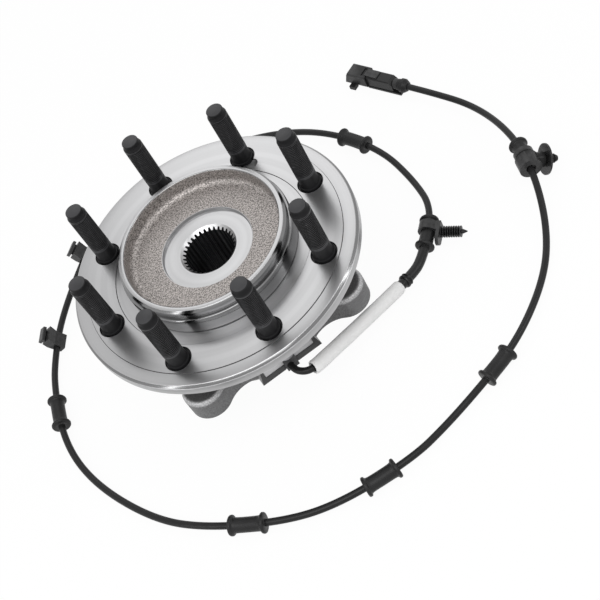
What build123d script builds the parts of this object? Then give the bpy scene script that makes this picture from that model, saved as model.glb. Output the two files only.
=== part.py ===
from build123d import *
from math import cos, pi, radians, sin, tan
import os

os.makedirs("parts", exist_ok=True)

# Driven wheel hub unit: a turning wheel flange carried by two rows of tapered rollers
# in an outer ring that bolts to the knuckle, with a wheel speed sensor and its lead.
# Millimetres, +Z up the axis towards the stud tips, Z 0 on the surface it stands on.

# Wheel flange
FACE_Z = 90.0
FLANGE_R = 103.7
FLANGE_T = 10.0
FLANGE_CHAMFER = 1.7
LAND_R = 93.7
LAND_STEP = 0.6
BACK_CHAMFER = 1.0

# Pilots and bowl on the wheel side
PILOT_STEP = 1.75
ROTOR_PILOT_H = 13.0
WHEEL_PILOT_R = 60.65
WHEEL_PILOT_H = 18.5
PILOT_TOP_H = 20.3
PILOT_LEAD = 1.65
RELIEF_R = 71.8
RELIEF_DEPTH = 0.4
PILOT_WALL = 4.85
BOWL_FLOOR_H = 8.2
BOWL_CORNER_R = 11.0
BOWL_LIP = 0.5
SPOTFACE_R = 32.2
SPOTFACE_H = 5.8
BORE_MOUTH_R = 20.5
BORE_MOUTH_DEPTH = 2.6

# Axle spline
SPLINE_TEETH = 33
SPLINE_MINOR_R = 17.6
SPLINE_MAJOR_R = 19.2
SPLINE_BOTTOM_Z = 15.0
SPACE_ROOT_W = 1.5
SPACE_MOUTH_W = 2.1
AXLE_SEAT_R = 20.5
AXLE_SEAT_LEAD = 1.5

# Wheel studs
STUD_COUNT = 8
STUD_CIRCLE_R = 82.55
STUD_R = 7.0
STUD_LENGTH_OUT = 51.3
STUD_POINT_R = 6.0
STUD_POINT_H = 3.3
STUD_POINT_CONE = 1.6
STUD_SHOULDER_R = 8.1
STUD_SHOULDER_H = 1.0
STUD_HEAD_R = 11.5
STUD_HEAD_T = 7.0
STUD_HEAD_ROUND = 1.5
STUD_SEAT_R = 9.2
STUD_SEAT_DEPTH = 1.6
DIMPLE_R = 4.0
DIMPLE_DEPTH = 3.0
DIMPLE_CIRCLE_R = 77.5
DIMPLE_ANGLE = 38.0

# Tapered roller rows, each mirrored about the plane midway between them
ROW_MID_Z = 44.5
ROW_OFFSET = 18.0
ROLLER_COUNT = 18
ROLLER_TILT = 15.0
PITCH_R = 42.0
ROLLER_R = 5.5
ROLLER_L = 16.0
RUN_CLEARANCE = 0.03
RIB_CLEARANCE = 0.12
SMALL_END_GAP = 0.3

# Inner rings and the spindle they sit on
SPINDLE_R = 30.0
SEAT_FIT = 0.02
RIB_R = 42.0
SMALL_RIB_R = 36.3
SMALL_RIB_W = 1.0
COLLAR_R = 34.0
OUTBOARD_RING_END = 31.0
INBOARD_RING_END = 33.0
RING_JOINT = -6.0
SPINDLE_NECK_R = 42.0
LIP_R = 37.5
LIP_BOTTOM_Z = 0.0
LIP_CORNER_R = 33.0

# Roller cages
CAGE_OFFSET = 1.4
CAGE_T = 1.5
CAGE_REACH = 10.2
CAGE_LIP_R = 37.4
CAGE_LIP_T = 1.3
POCKET_CLEARANCE = 0.25

# Pulse ring for the speed sensor
TONE_R = 43.2
TONE_W = 8.0
TONE_TEETH = 48
TONE_SLOT_W = 2.4
TONE_SLOT_DEPTH = 2.0

# Outer ring and knuckle flange
SPIGOT_R = 60.0
SPIGOT_L = 14.0
SPIGOT_END_R = 54.8
MOUNT_Z = 35.0
EAR_T = 18.5
PLATE_R = 71.5
EAR_COUNT = 4
EAR_START_ANGLE = 45.0
EAR_REACH = 9.8
EAR_TIP_R = 15.5
EAR_ROOT_R = 22.0
EAR_ROUND = 3.5
NECK_R = 64.0
NECK_ROOT = 6.0
NECK_CHAMFER = 1.5
OUTBOARD_END = 34.0
SEAL_BORE_R = 53.0
SEAL_BORE_DEPTH = 5.2
CUP_OVERRUN = 1.2
KNUCKLE_BOLT_R = 6.4
KNUCKLE_BOLT_DEPTH = 14.0

# Sensor pad on the outer ring
PAD_FACE = 75.1
PAD_HALF_W = 24.2
PAD_TOP_HALF_W = 21.8
PAD_SHOULDER_Z = 46.0
PAD_TOP_Z = 63.5
MILLED_DEPTH = 0.5
MILLED_HALF_W = 19.6
MILLED_LOW_Z = 40.3

# Seals
SLINGER_T = 1.0
SLINGER_FLANGE_R = 51.4
CASE_T = 1.0
CASE_WEB_R = 45.6
LIP_GAP = 0.12
LIP_ROOT_R = 51.8
LIP_W = 2.6

# Wheel speed sensor
SENSOR_STEM_R = 3.9
SENSOR_BORE_R = 4.0
SENSOR_AIR_GAP = 0.8
SENSOR_EAR_R = 6.0
SENSOR_FOOT_HALF_W = 4.6
SENSOR_FOOT_SHIFT = -0.4
SENSOR_HEAD_T = 4.5
SENSOR_HEAD_LOW = 8.9
SENSOR_HEAD_FIT = 0.3
SENSOR_FOOT_CHAMFER = 1.2
SENSOR_SCREW_RISE = 12.0
SENSOR_SCREW_R = 3.0
SCREW_HEAD_R = 5.2
SCREW_HEAD_T = 3.6
SCREW_REACH = 8.0
SCREW_FIT = 0.1
SCREW_SOCKET_R = 2.4
SCREW_SOCKET_DEPTH = 2.0
ORING_TUBE_R = 1.05
ORING_CENTRE_R = 2.9
ORING_GROOVE_W = 2.5
ORING_GROOVE_R = 1.8
ORING_DEPTH = 14.0

# Lead and what is on it
CABLE_R = 2.5
SLEEVE_R = 5.1
SLEEVE_BORE_R = 3.95
SLEEVE_START = 21.5
SLEEVE_LENGTH = 93.0
CONDUIT_R = 3.75
CONDUIT_LAP = 6.0
CONDUIT_END_GAP = 0.4
BAND_R = 5.3
BAND_START = 3.2
BAND_LENGTH = 5.0
GROMMET_L = 25.0
GROMMET_BODY_R = 5.3
GROMMET_COLLAR_R = 7.2
GROMMET_COLLAR_W = 2.6
GROMMET_COLLAR_ROUND = 0.9
GROMMET_BORE_R = 2.55
GROMMET_FLARE = 1.2
COLLAR_FOOT = 0.4
GROMMET_RUNS = (7, 10, 20, 24, 26, 29, 33)

# Fixings at the first and last grommets
STRAP_R = 7.4
STRAP_FIT = 0.05
STRAP_END_GAP = 0.3
STRAP_ONE_SPAN = (-8.2, -0.8)
STRAP_ONE_BASE = (-8.2, 9.5)
STRAP_SEVEN_SPAN = (-3.0, 1.5)
BASE_INNER = 7.35
BASE_OUTER = 9.8
BASE_HALF_H = 4.6
TREE_ONE_SHIFT = -1.3
TREE_STEM_R = 1.7
TREE_FIN_R = 4.2
TREE_FINS = 9
TREE_FIN_PITCH = 1.75
TREE_FIN_T = 0.9
TREE_FIN_EDGE = 0.35
TREE_BARE = 0.6
TREE_TIP = 3.2
TREE_TIP_R = 0.4
DOWEL_STEM_R = 2.6
DOWEL_FIN_R = 3.4
DOWEL_FINS = 4
DOWEL_FIN_PITCH = 1.7
DOWEL_TIP = 1.1
DOWEL_TIP_R = 2.0
DISC_R = 11.4
DISC_T = 1.3
DISC_NECK = 1.2
DISC_NECK_FLARE = 0.8
SEVEN_ROLL = -27.0
SEVEN_REACH = 12.1
SEVEN_SHIFT = 5.3
SEVEN_ARM_R = 5.6
SEVEN_ARM_ROOT = 5.0
SEVEN_GROOVE_R = 6.5
SEVEN_SHELL_R = 8.4
SEVEN_SHELL_SPAN = (3.0, 13.4)
SEVEN_END_PLATE = 0.8
SEVEN_END_BORE_R = 3.6

# Square route clips
ROUTE_CLIP_RUNS = (16, 18)
ROUTE_CLIP_ROLLS = (47.0, 56.7)
ROUTE_CLIP_SHIFTS = (-5.7, 1.9)
ROUTE_CLIP_OFFSETS = ((1.1, -0.4), (1.9, 0.2))
CLIP_L = 12.0
CLIP_INNER = 6.9
CLIP_INNER_LOW = 2.8
CLIP_OUTER = 9.0
CLIP_OUTER_LOW = 2.6
CLIP_FOOT_X = 4.3
CLIP_FOOT_LOW = 4.0
CLIP_PEAK = 6.6
CLIP_RAMP_X = 2.0
CLIP_SHOULDER = 3.55
CLIP_SLOT_W = 1.2
CLIP_ARM_W = 2.4
CLIP_ARM_LOW = 2.3
CLIP_ARM_HIGH = 3.3
CLIP_ARM_BEVEL = 0.6
CLIP_HINGE_T = 1.3
CLIP_HINGE_RECESS = 3.0
CLIP_BORE_R = 2.6

# Plug at the end of the lead
PLUG_BACK_HALF = 4.8
PLUG_BACK_L = 24.5
PLUG_BACK_BEVEL = 3.5
PLUG_NECK_L = 3.6
PLUG_NECK_R = 4.4
PLUG_BASE_HALF_W = 5.2
PLUG_BASE_T = 1.7
PLUG_BASE_BACK = 7.0
HOOD_HALF_W = 6.3
HOOD_HALF_H = 5.6
HOOD_L = 21.8
HOOD_MOUTH_SLANT = 4.5
HOOD_WALL = 1.3
HOOD_FLOOR_T = 2.0
HOOD_ROUND = 1.6
PLUG_ROUND = 1.0
FOOT_L = 5.3
FOOT_BACK = 11.3
FOOT_HALF_SPAN = 10.0
FOOT_T = 2.0
FOOT_Z = 0.4
LOCK_HALF_W = 3.5
LOCK_T = 1.3
LOCK_START = 14.5
LOCK_L = 11.5
LOCK_TRAVEL = 3.0
LOCK_FIT = 0.05
LOCK_SIDE_FIT = 0.3
SEAL_RING_R = 5.6
SEAL_RING_L = 8.4
SEAL_RING_NOSE = 3.9
SEAL_NOSE_L = 2.8
SEAL_RIDGE_L = 2.8
SEAL_STEP = 0.8
SEAL_FOOT_R = 4.6
PIN_R = 0.8
PIN_L = 9.0
PIN_PITCH = 4.0

# Route of the lead's centre line, from the sensor to the plug
ROUTE = [
    (-1.5, -79.1, 41.9),
    (-1.5, -84.8, 41.9),
    (3.0, -90.6, 41.6),
    (9.3, -91.7, 40.2),
    (21.7, -86.6, 35.8),
    (44.2, -76.6, 26.8),
    (92.7, -58.2, 11.6),
    (119.0, -46.0, 7.5),
    (149.0, -15.0, 7.5),
    (155.0, 20.0, 4.0),
    (153.0, 63.0, 7.25),
    (133.0, 111.0, 7.25),
    (104.0, 147.0, 4.0),
    (64.0, 171.0, 3.0),
    (18.0, 181.0, 3.0),
    (-27.0, 182.0, 3.0),
    (-67.9, 167.0, 6.9),
    (-96.8, 141.0, 6.9),
    (-122.7, 113.1, 6.9),
    (-138.7, 88.2, 6.9),
    (-151.0, 63.0, 7.25),
    (-165.0, 12.0, 7.25),
    (-161.0, -33.0, 3.5),
    (-138.0, -87.0, 3.5),
    (-110.0, -121.0, 7.25),
    (-62.0, -155.0, 7.25),
    (-24.0, -168.0, 7.25),
    (27.0, -172.0, 7.25),
    (55.0, -166.0, 4.5),
    (87.0, -160.0, 7.25),
    (128.0, -148.0, 7.25),
    (171.0, -119.0, 4.0),
    (197.0, -89.0, 5.0),
    (215.6, -54.4, 17.2),
    (227.5, -11.7, 17.2),
    (229.0, 42.0, 6.0),
    (211.8, 81.3, 8.0),
    (198.0, 110.3, 8.0),
]

# Lengths worked out from the driving dimensions
BACK_Z = FACE_Z - FLANGE_T
APEX_REACH = PITCH_R / sin(radians(ROLLER_TILT))
STEM_TIP = TONE_R + SENSOR_AIR_GAP
EAR_TOP_Z = MOUNT_Z + EAR_T
EAR_CIRCLE_R = PLATE_R + EAR_REACH
ROTOR_PILOT_R = WHEEL_PILOT_R + PILOT_STEP
BOWL_R = WHEEL_PILOT_R - PILOT_WALL
SENSOR_SEAT = PAD_FACE - MILLED_DEPTH
SENSOR_FRONT = SENSOR_SEAT + SENSOR_HEAD_T


def row_point(along, off):
    """Radius and height above the row's mid plane of a point given along a roller's axis."""
    tilt = radians(ROLLER_TILT)
    radius = PITCH_R + along * sin(tilt) + off * cos(tilt)
    height = ROW_OFFSET + along * cos(tilt) - off * sin(tilt)
    return radius, height


def roller_radius(along):
    """Radius of a roller at a distance from its middle, towards its large end."""
    return ROLLER_R * (1 + along / APEX_REACH)


def on_row(side, points):
    """Profile points (radius, height from the mid plane) at their place in Z."""
    return [(radius, ROW_MID_Z + side * height) for radius, height in points]


def face_height(along, radius):
    """Height where a face square to the roller's axis reaches a radius."""
    tilt = radians(ROLLER_TILT)
    off = (radius - PITCH_R - along * sin(tilt)) / cos(tilt)
    return row_point(along, off)[1]


def turned(points):
    """Solid turned about Z from a closed profile of radius and height."""
    with BuildPart() as blank:
        with BuildSketch(Plane.XZ):
            with BuildLine():
                Polyline(*points, close=True)
            make_face()
        revolve(axis=Axis.Z)
    return blank


def roller_planes(side):
    """One plane per roller, centred on it, with its normal along the roller's axis."""
    tilt = radians(ROLLER_TILT)
    places = []
    for index in range(ROLLER_COUNT):
        turn = 2 * pi * index / ROLLER_COUNT
        radial = Vector(cos(turn), sin(turn), 0)
        centre = radial * PITCH_R + Vector(0, 0, ROW_MID_Z + side * ROW_OFFSET)
        axis = radial * sin(tilt) + Vector(0, 0, side * cos(tilt))
        places.append(Plane(origin=centre, x_dir=Vector(-sin(turn), cos(turn), 0), z_dir=axis))
    return places


# Wheel hub: flange, pilots, bowl, spindle and rolled lip, turned in one piece
bowl_top = FACE_Z + PILOT_TOP_H
bowl_floor = FACE_Z + BOWL_FLOOR_H
spot_floor = FACE_Z + SPOTFACE_H
shoulder_z = ROW_MID_Z + OUTBOARD_RING_END
lip_top = ROW_MID_Z - INBOARD_RING_END
spline_start = SPLINE_BOTTOM_Z + AXLE_SEAT_R - SPLINE_MINOR_R
with BuildPart() as wheel_hub:
    with BuildSketch(Plane.XZ):
        with BuildLine():
            Polyline(
                (BOWL_R - BOWL_CORNER_R, bowl_floor),
                (SPOTFACE_R + 0.6, bowl_floor),
                (SPOTFACE_R, spot_floor),
                (BORE_MOUTH_R, spot_floor),
                (SPLINE_MINOR_R, spot_floor - BORE_MOUTH_DEPTH),
                (SPLINE_MINOR_R, spline_start),
                (AXLE_SEAT_R, SPLINE_BOTTOM_Z),
                (AXLE_SEAT_R, LIP_BOTTOM_Z + AXLE_SEAT_LEAD),
                (AXLE_SEAT_R + AXLE_SEAT_LEAD, LIP_BOTTOM_Z),
                (LIP_CORNER_R, LIP_BOTTOM_Z),
            )
            lip_round = RadiusArc(
                (LIP_CORNER_R, LIP_BOTTOM_Z), (LIP_R, lip_top), -1.1 * (lip_top - LIP_BOTTOM_Z)
            )
            Polyline(
                (LIP_R, lip_top),
                (SPINDLE_R, lip_top),
                (SPINDLE_R, shoulder_z),
                (SPINDLE_NECK_R, shoulder_z),
                (SPINDLE_NECK_R, BACK_Z),
                (FLANGE_R - BACK_CHAMFER, BACK_Z),
                (FLANGE_R, BACK_Z + BACK_CHAMFER),
                (FLANGE_R, FACE_Z - LAND_STEP - FLANGE_CHAMFER),
                (FLANGE_R - FLANGE_CHAMFER, FACE_Z - LAND_STEP),
                (LAND_R, FACE_Z - LAND_STEP),
                (LAND_R, FACE_Z),
                (RELIEF_R, FACE_Z),
                (RELIEF_R, FACE_Z - RELIEF_DEPTH),
                (ROTOR_PILOT_R, FACE_Z - RELIEF_DEPTH),
                (ROTOR_PILOT_R, FACE_Z + ROTOR_PILOT_H - 0.6),
                (ROTOR_PILOT_R - 0.6, FACE_Z + ROTOR_PILOT_H),
                (WHEEL_PILOT_R, FACE_Z + ROTOR_PILOT_H),
                (WHEEL_PILOT_R, FACE_Z + WHEEL_PILOT_H),
                (WHEEL_PILOT_R - PILOT_LEAD, bowl_top),
                (BOWL_R + BOWL_LIP, bowl_top),
                (BOWL_R, bowl_top - BOWL_LIP),
                (BOWL_R, bowl_floor + BOWL_CORNER_R),
            )
            RadiusArc(
                (BOWL_R, bowl_floor + BOWL_CORNER_R),
                (BOWL_R - BOWL_CORNER_R, bowl_floor),
                BOWL_CORNER_R,
            )
        make_face()
    revolve(axis=Axis.Z)
    with BuildSketch(Plane.XY.offset(SPLINE_BOTTOM_Z)):
        with PolarLocations(0, SPLINE_TEETH):
            with BuildLine():
                Polyline(
                    (SPLINE_MINOR_R - 1.0, -SPACE_MOUTH_W / 2),
                    (SPLINE_MAJOR_R, -SPACE_ROOT_W / 2),
                    (SPLINE_MAJOR_R, SPACE_ROOT_W / 2),
                    (SPLINE_MINOR_R - 1.0, SPACE_MOUTH_W / 2),
                    close=True,
                )
            make_face()
    extrude(amount=FACE_Z + SPOTFACE_H - SPLINE_BOTTOM_Z, mode=Mode.SUBTRACT)
    with BuildSketch(Plane.XY.offset(BACK_Z)):
        with PolarLocations(STUD_CIRCLE_R, STUD_COUNT):
            Circle(STUD_SHOULDER_R + SEAT_FIT)
    extrude(amount=FLANGE_T, mode=Mode.SUBTRACT)
    with BuildSketch(Plane.XY.offset(FACE_Z)):
        with PolarLocations(STUD_CIRCLE_R, STUD_COUNT):
            Circle(STUD_SEAT_R)
    extrude(amount=-STUD_SEAT_DEPTH, mode=Mode.SUBTRACT)
    with BuildSketch(Plane.XY.offset(FACE_Z)):
        with PolarLocations(DIMPLE_CIRCLE_R, 1, start_angle=DIMPLE_ANGLE):
            Circle(DIMPLE_R)
    extrude(amount=-DIMPLE_DEPTH, mode=Mode.SUBTRACT)
wheel_hub.part.label = "wheel_hub"
export_step(wheel_hub.part, "parts/wheel_hub.step")

# Wheel studs: head behind the flange, pressed shoulder, shank and dog point
stud_tip = FACE_Z + STUD_LENGTH_OUT
with BuildPart() as wheel_studs:
    with PolarLocations(STUD_CIRCLE_R, STUD_COUNT):
        with Locations((0, 0, BACK_Z - STUD_HEAD_T)):
            Cylinder(STUD_HEAD_R, STUD_HEAD_T, align=(Align.CENTER, Align.CENTER, Align.MIN))
        with Locations((0, 0, BACK_Z)):
            Cylinder(
                STUD_SHOULDER_R,
                FLANGE_T + STUD_SHOULDER_H,
                align=(Align.CENTER, Align.CENTER, Align.MIN),
            )
        with Locations((0, 0, FACE_Z + STUD_SHOULDER_H)):
            Cylinder(
                STUD_R,
                STUD_LENGTH_OUT - STUD_SHOULDER_H - STUD_POINT_H - STUD_POINT_CONE,
                align=(Align.CENTER, Align.CENTER, Align.MIN),
            )
        with Locations((0, 0, stud_tip - STUD_POINT_H - STUD_POINT_CONE)):
            Cone(
                STUD_R,
                STUD_POINT_R,
                STUD_POINT_CONE,
                align=(Align.CENTER, Align.CENTER, Align.MIN),
            )
        with Locations((0, 0, stud_tip - STUD_POINT_H)):
            Cylinder(STUD_POINT_R, STUD_POINT_H, align=(Align.CENTER, Align.CENTER, Align.MIN))
    head_rims = wheel_studs.edges().filter_by(GeomType.CIRCLE).group_by(Axis.Z)[0]
    chamfer(head_rims, STUD_HEAD_ROUND)
wheel_studs.part.label = "wheel_studs"
export_step(wheel_studs.part, "parts/wheel_studs.step")


def inner_ring(side, start, end):
    """Cone of one row: bore, collar, small rib, raceway and large rib."""
    half = ROLLER_L / 2
    small = -half - SMALL_END_GAP
    large = half + RIB_CLEARANCE
    race_start = row_point(small, -roller_radius(small) - RUN_CLEARANCE)
    race_end = row_point(large, -roller_radius(large) - RUN_CLEARANCE)
    rib_foot = race_start[1] - SMALL_RIB_W - (SMALL_RIB_R - race_start[0])
    points = [
        (SPINDLE_R + SEAT_FIT, start),
        (COLLAR_R, start),
        (COLLAR_R, rib_foot),
        (SMALL_RIB_R, rib_foot),
        (SMALL_RIB_R, face_height(small, SMALL_RIB_R)),
        race_start,
        race_end,
        (RIB_R, face_height(large, RIB_R)),
        (RIB_R, end),
        (SPINDLE_R + SEAT_FIT, end),
    ]
    return turned(on_row(side, points))


outboard_inner_ring = inner_ring(1, RING_JOINT, OUTBOARD_RING_END)
outboard_inner_ring.part.label = "outboard_inner_ring"
export_step(outboard_inner_ring.part, "parts/outboard_inner_ring.step")

inboard_inner_ring = inner_ring(-1, -RING_JOINT, INBOARD_RING_END)
inboard_inner_ring.part.label = "inboard_inner_ring"
export_step(inboard_inner_ring.part, "parts/inboard_inner_ring.step")

# Pulse ring: square teeth cut round its rim, on the outboard ring's collar
with BuildPart() as tone_ring:
    with BuildSketch(Plane.XY.offset(ROW_MID_Z - TONE_W / 2)):
        Circle(TONE_R)
        Circle(COLLAR_R + SEAT_FIT, mode=Mode.SUBTRACT)
        with PolarLocations(TONE_R, TONE_TEETH):
            Rectangle(2 * TONE_SLOT_DEPTH, TONE_SLOT_W, mode=Mode.SUBTRACT)
    extrude(amount=TONE_W)
tone_ring.part.label = "tone_ring"
export_step(tone_ring.part, "parts/tone_ring.step")


def roller_set(side):
    """All the tapered rollers of one row."""
    half = ROLLER_L / 2
    with BuildPart() as rollers:
        with Locations(*roller_planes(side)):
            Cone(roller_radius(-half), roller_radius(half), ROLLER_L)
    return rollers


def roller_cage(side):
    """Conical shell that keeps one row of rollers apart, with a pocket for each."""
    outer = CAGE_OFFSET + CAGE_T
    small_inside = row_point(-CAGE_REACH, CAGE_OFFSET)
    points = [
        (CAGE_LIP_R, small_inside[1] - CAGE_LIP_T),
        (row_point(-CAGE_REACH, outer)[0], small_inside[1] - CAGE_LIP_T),
        row_point(-CAGE_REACH, outer),
        row_point(CAGE_REACH, outer),
        row_point(CAGE_REACH, CAGE_OFFSET),
        small_inside,
        (CAGE_LIP_R, small_inside[1]),
    ]
    half = ROLLER_L / 2 + POCKET_CLEARANCE
    with BuildPart() as cage:
        add(turned(on_row(side, points)).part)
        with Locations(*roller_planes(side)):
            Cone(
                roller_radius(-half) + POCKET_CLEARANCE,
                roller_radius(half) + POCKET_CLEARANCE,
                2 * half,
                mode=Mode.SUBTRACT,
            )
    return cage


outboard_rollers = roller_set(1)
outboard_rollers.part.label = "outboard_rollers"
export_step(outboard_rollers.part, "parts/outboard_rollers.step")

inboard_rollers = roller_set(-1)
inboard_rollers.part.label = "inboard_rollers"
export_step(inboard_rollers.part, "parts/inboard_rollers.step")

outboard_cage = roller_cage(1)
outboard_cage.part.label = "outboard_cage"
export_step(outboard_cage.part, "parts/outboard_cage.step")

inboard_cage = roller_cage(-1)
inboard_cage.part.label = "inboard_cage"
export_step(inboard_cage.part, "parts/inboard_cage.step")

# Outer ring: both cups, spigot, four-eared knuckle flange and sensor pad
cup_reach = ROLLER_L / 2 + CUP_OVERRUN
cup_large = row_point(cup_reach, roller_radius(cup_reach) + RUN_CLEARANCE)
cup_small = row_point(-cup_reach, roller_radius(-cup_reach) + RUN_CLEARANCE)
outboard_end_z = ROW_MID_Z + OUTBOARD_END
seal_floor = OUTBOARD_END - SEAL_BORE_DEPTH
sensor_head_foot = ROW_MID_Z - SENSOR_HEAD_LOW
screw_z = ROW_MID_Z + SENSOR_SCREW_RISE
inboard_end_z = ROW_MID_Z - OUTBOARD_END
with BuildPart() as outer_ring:
    with BuildSketch(Plane.XY.offset(MOUNT_Z)) as ears:
        Circle(PLATE_R)
        with PolarLocations(EAR_CIRCLE_R, EAR_COUNT, start_angle=EAR_START_ANGLE):
            Circle(EAR_TIP_R)
        fillet(ears.vertices(), EAR_ROOT_R)
    extrude(amount=EAR_T)
    fillet(outer_ring.faces().sort_by(Axis.Z)[-1].edges(), EAR_ROUND)
    with BuildSketch(Plane.XZ):
        with BuildLine():
            Polyline(
                (-PAD_HALF_W, MOUNT_Z),
                (PAD_HALF_W, MOUNT_Z),
                (PAD_TOP_HALF_W, PAD_SHOULDER_Z),
                (PAD_TOP_HALF_W, PAD_TOP_Z),
                (-PAD_TOP_HALF_W, PAD_TOP_Z),
                (-PAD_TOP_HALF_W, PAD_SHOULDER_Z),
                close=True,
            )
        make_face()
    extrude(amount=PAD_FACE)
    with BuildSketch(Plane.XZ):
        with BuildLine():
            Polyline(
                (0, inboard_end_z),
                (SPIGOT_END_R, inboard_end_z),
                (SPIGOT_R, MOUNT_Z - SPIGOT_L),
                (SPIGOT_R, MOUNT_Z),
                (PLATE_R - 1.0, MOUNT_Z),
                (PLATE_R - 1.0, EAR_TOP_Z - EAR_ROUND),
                (NECK_R, EAR_TOP_Z + NECK_ROOT - EAR_ROUND),
                (NECK_R, outboard_end_z - NECK_CHAMFER),
                (NECK_R - NECK_CHAMFER, outboard_end_z),
                (0, outboard_end_z),
                close=True,
            )
        make_face()
    revolve(axis=Axis.Z)
    with BuildSketch(Plane.XZ):
        with BuildLine():
            Polyline(
                (0, inboard_end_z - 1),
                (SEAL_BORE_R, inboard_end_z - 1),
                *on_row(-1, [(SEAL_BORE_R, seal_floor), (cup_large[0], seal_floor)]),
                *on_row(-1, [cup_large, cup_small]),
                *on_row(1, [cup_small, cup_large]),
                *on_row(1, [(cup_large[0], seal_floor), (SEAL_BORE_R, seal_floor)]),
                (SEAL_BORE_R, outboard_end_z + 1),
                (0, outboard_end_z + 1),
                close=True,
            )
        make_face()
    revolve(axis=Axis.Z, mode=Mode.SUBTRACT)
    with BuildSketch(Plane.XZ.offset(PITCH_R)):
        with Locations((0, ROW_MID_Z)):
            Circle(SENSOR_BORE_R)
    extrude(amount=PAD_FACE - PITCH_R, mode=Mode.SUBTRACT)
    with BuildSketch(Plane.XZ.offset(SENSOR_SEAT)):
        with Locations((0, MILLED_LOW_Z)):
            Rectangle(
                2 * MILLED_HALF_W,
                PAD_TOP_Z - MILLED_LOW_Z,
                align=(Align.CENTER, Align.MIN),
            )
        with Locations((SENSOR_FOOT_SHIFT, MOUNT_Z)):
            Rectangle(
                2 * (SENSOR_FOOT_HALF_W + SENSOR_HEAD_FIT),
                PAD_TOP_Z - MOUNT_Z,
                align=(Align.CENTER, Align.MIN),
            )
    extrude(amount=MILLED_DEPTH, mode=Mode.SUBTRACT)
    with BuildSketch(Plane.XZ.offset(SENSOR_SEAT)):
        with Locations((0, screw_z)):
            Circle(SENSOR_SCREW_R + SEAT_FIT)
    extrude(amount=-SCREW_REACH, mode=Mode.SUBTRACT)
    with BuildSketch(Plane.XY.offset(MOUNT_Z)):
        with PolarLocations(EAR_CIRCLE_R, EAR_COUNT, start_angle=EAR_START_ANGLE):
            Circle(KNUCKLE_BOLT_R)
    extrude(amount=KNUCKLE_BOLT_DEPTH, mode=Mode.SUBTRACT)
outer_ring.part.label = "outer_ring"
export_step(outer_ring.part, "parts/outer_ring.step")


def seal_case(side):
    """Pressed steel case in the outer ring's bore: a sleeve and an inward web."""
    points = [
        (SEAL_BORE_R - SEAT_FIT, seal_floor),
        (SEAL_BORE_R - SEAT_FIT, OUTBOARD_END - 0.4),
        (SEAL_BORE_R - CASE_T, OUTBOARD_END - 0.4),
        (SEAL_BORE_R - CASE_T, seal_floor + CASE_T),
        (CASE_WEB_R, seal_floor + CASE_T),
        (CASE_WEB_R, seal_floor),
    ]
    return turned(on_row(side, points))


def seal_lip(side):
    """Rubber ring on the case's web, whose lip points at the slinger's sleeve."""
    base = seal_floor + CASE_T
    sleeve_r = RIB_R + SLINGER_T
    points = [
        (LIP_ROOT_R, base),
        (LIP_ROOT_R, base + 0.8),
        (CASE_WEB_R + 1.2, base + 0.8),
        (CASE_WEB_R - 0.6, base + LIP_W - 0.4),
        (sleeve_r + LIP_GAP, base + LIP_W - 0.9),
        (CASE_WEB_R - 1.2, base),
    ]
    return turned(on_row(side, points))


def slinger(side):
    """Steel ring that turns with the hub: a sleeve on the rib and a flange that covers the seal."""
    start = max(seal_floor, face_height(ROLLER_L / 2 + RIB_CLEARANCE, RIB_R) + 0.6)
    flange = seal_floor + CASE_T + LIP_W + 0.2
    sleeve = RIB_R + SEAT_FIT
    points = [
        (sleeve, start),
        (sleeve + SLINGER_T, start),
        (sleeve + SLINGER_T, flange),
        (SLINGER_FLANGE_R, flange),
        (SLINGER_FLANGE_R, flange + SLINGER_T),
        (sleeve, flange + SLINGER_T),
    ]
    return turned(on_row(side, points))


for side, name in ((1, "outboard"), (-1, "inboard")):
    case = seal_case(side)
    case.part.label = f"{name}_seal_case"
    export_step(case.part, f"parts/{name}_seal_case.step")
    lip = seal_lip(side)
    lip.part.label = f"{name}_seal_lip"
    export_step(lip.part, f"parts/{name}_seal_lip.step")
    ring = slinger(side)
    ring.part.label = f"{name}_slinger"
    export_step(ring.part, f"parts/{name}_slinger.step")

# Speed sensor: round stem in the ring's bore, flat head on the milled pad
with BuildPart() as sensor_body:
    with BuildSketch(Plane.XZ.offset(STEM_TIP)):
        with Locations((0, ROW_MID_Z)):
            Circle(SENSOR_STEM_R)
    extrude(amount=SENSOR_SEAT - STEM_TIP)
    with BuildSketch(Plane.XZ.offset(SENSOR_SEAT)):
        with Locations((SENSOR_FOOT_SHIFT, (sensor_head_foot + screw_z) / 2)):
            Rectangle(2 * SENSOR_FOOT_HALF_W, screw_z - sensor_head_foot)
        with Locations((0, screw_z)):
            Circle(SENSOR_EAR_R)
    extrude(amount=SENSOR_HEAD_T)
    front = sensor_body.faces().sort_by(Axis.Y)[0]
    chamfer(front.edges().sort_by(Axis.Z)[0], SENSOR_FOOT_CHAMFER)
    with BuildSketch(Plane.XZ.offset(SENSOR_SEAT)):
        with Locations((0, screw_z)):
            Circle(SENSOR_SCREW_R + SCREW_FIT)
    extrude(amount=SENSOR_HEAD_T, mode=Mode.SUBTRACT)
    with BuildSketch(Plane.XZ.offset(SENSOR_SEAT - ORING_DEPTH - ORING_GROOVE_W / 2)):
        with Locations((0, ROW_MID_Z)):
            Circle(SENSOR_STEM_R + 1)
            Circle(ORING_GROOVE_R, mode=Mode.SUBTRACT)
    extrude(amount=ORING_GROOVE_W, mode=Mode.SUBTRACT)
sensor_body.part.label = "sensor_body"
export_step(sensor_body.part, "parts/sensor_body.step")

with BuildPart() as sensor_oring:
    with Locations(Plane(origin=(0, ORING_DEPTH - SENSOR_SEAT, ROW_MID_Z), z_dir=(0, -1, 0))):
        Torus(ORING_CENTRE_R, ORING_TUBE_R)
sensor_oring.part.label = "sensor_oring"
export_step(sensor_oring.part, "parts/sensor_oring.step")

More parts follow.
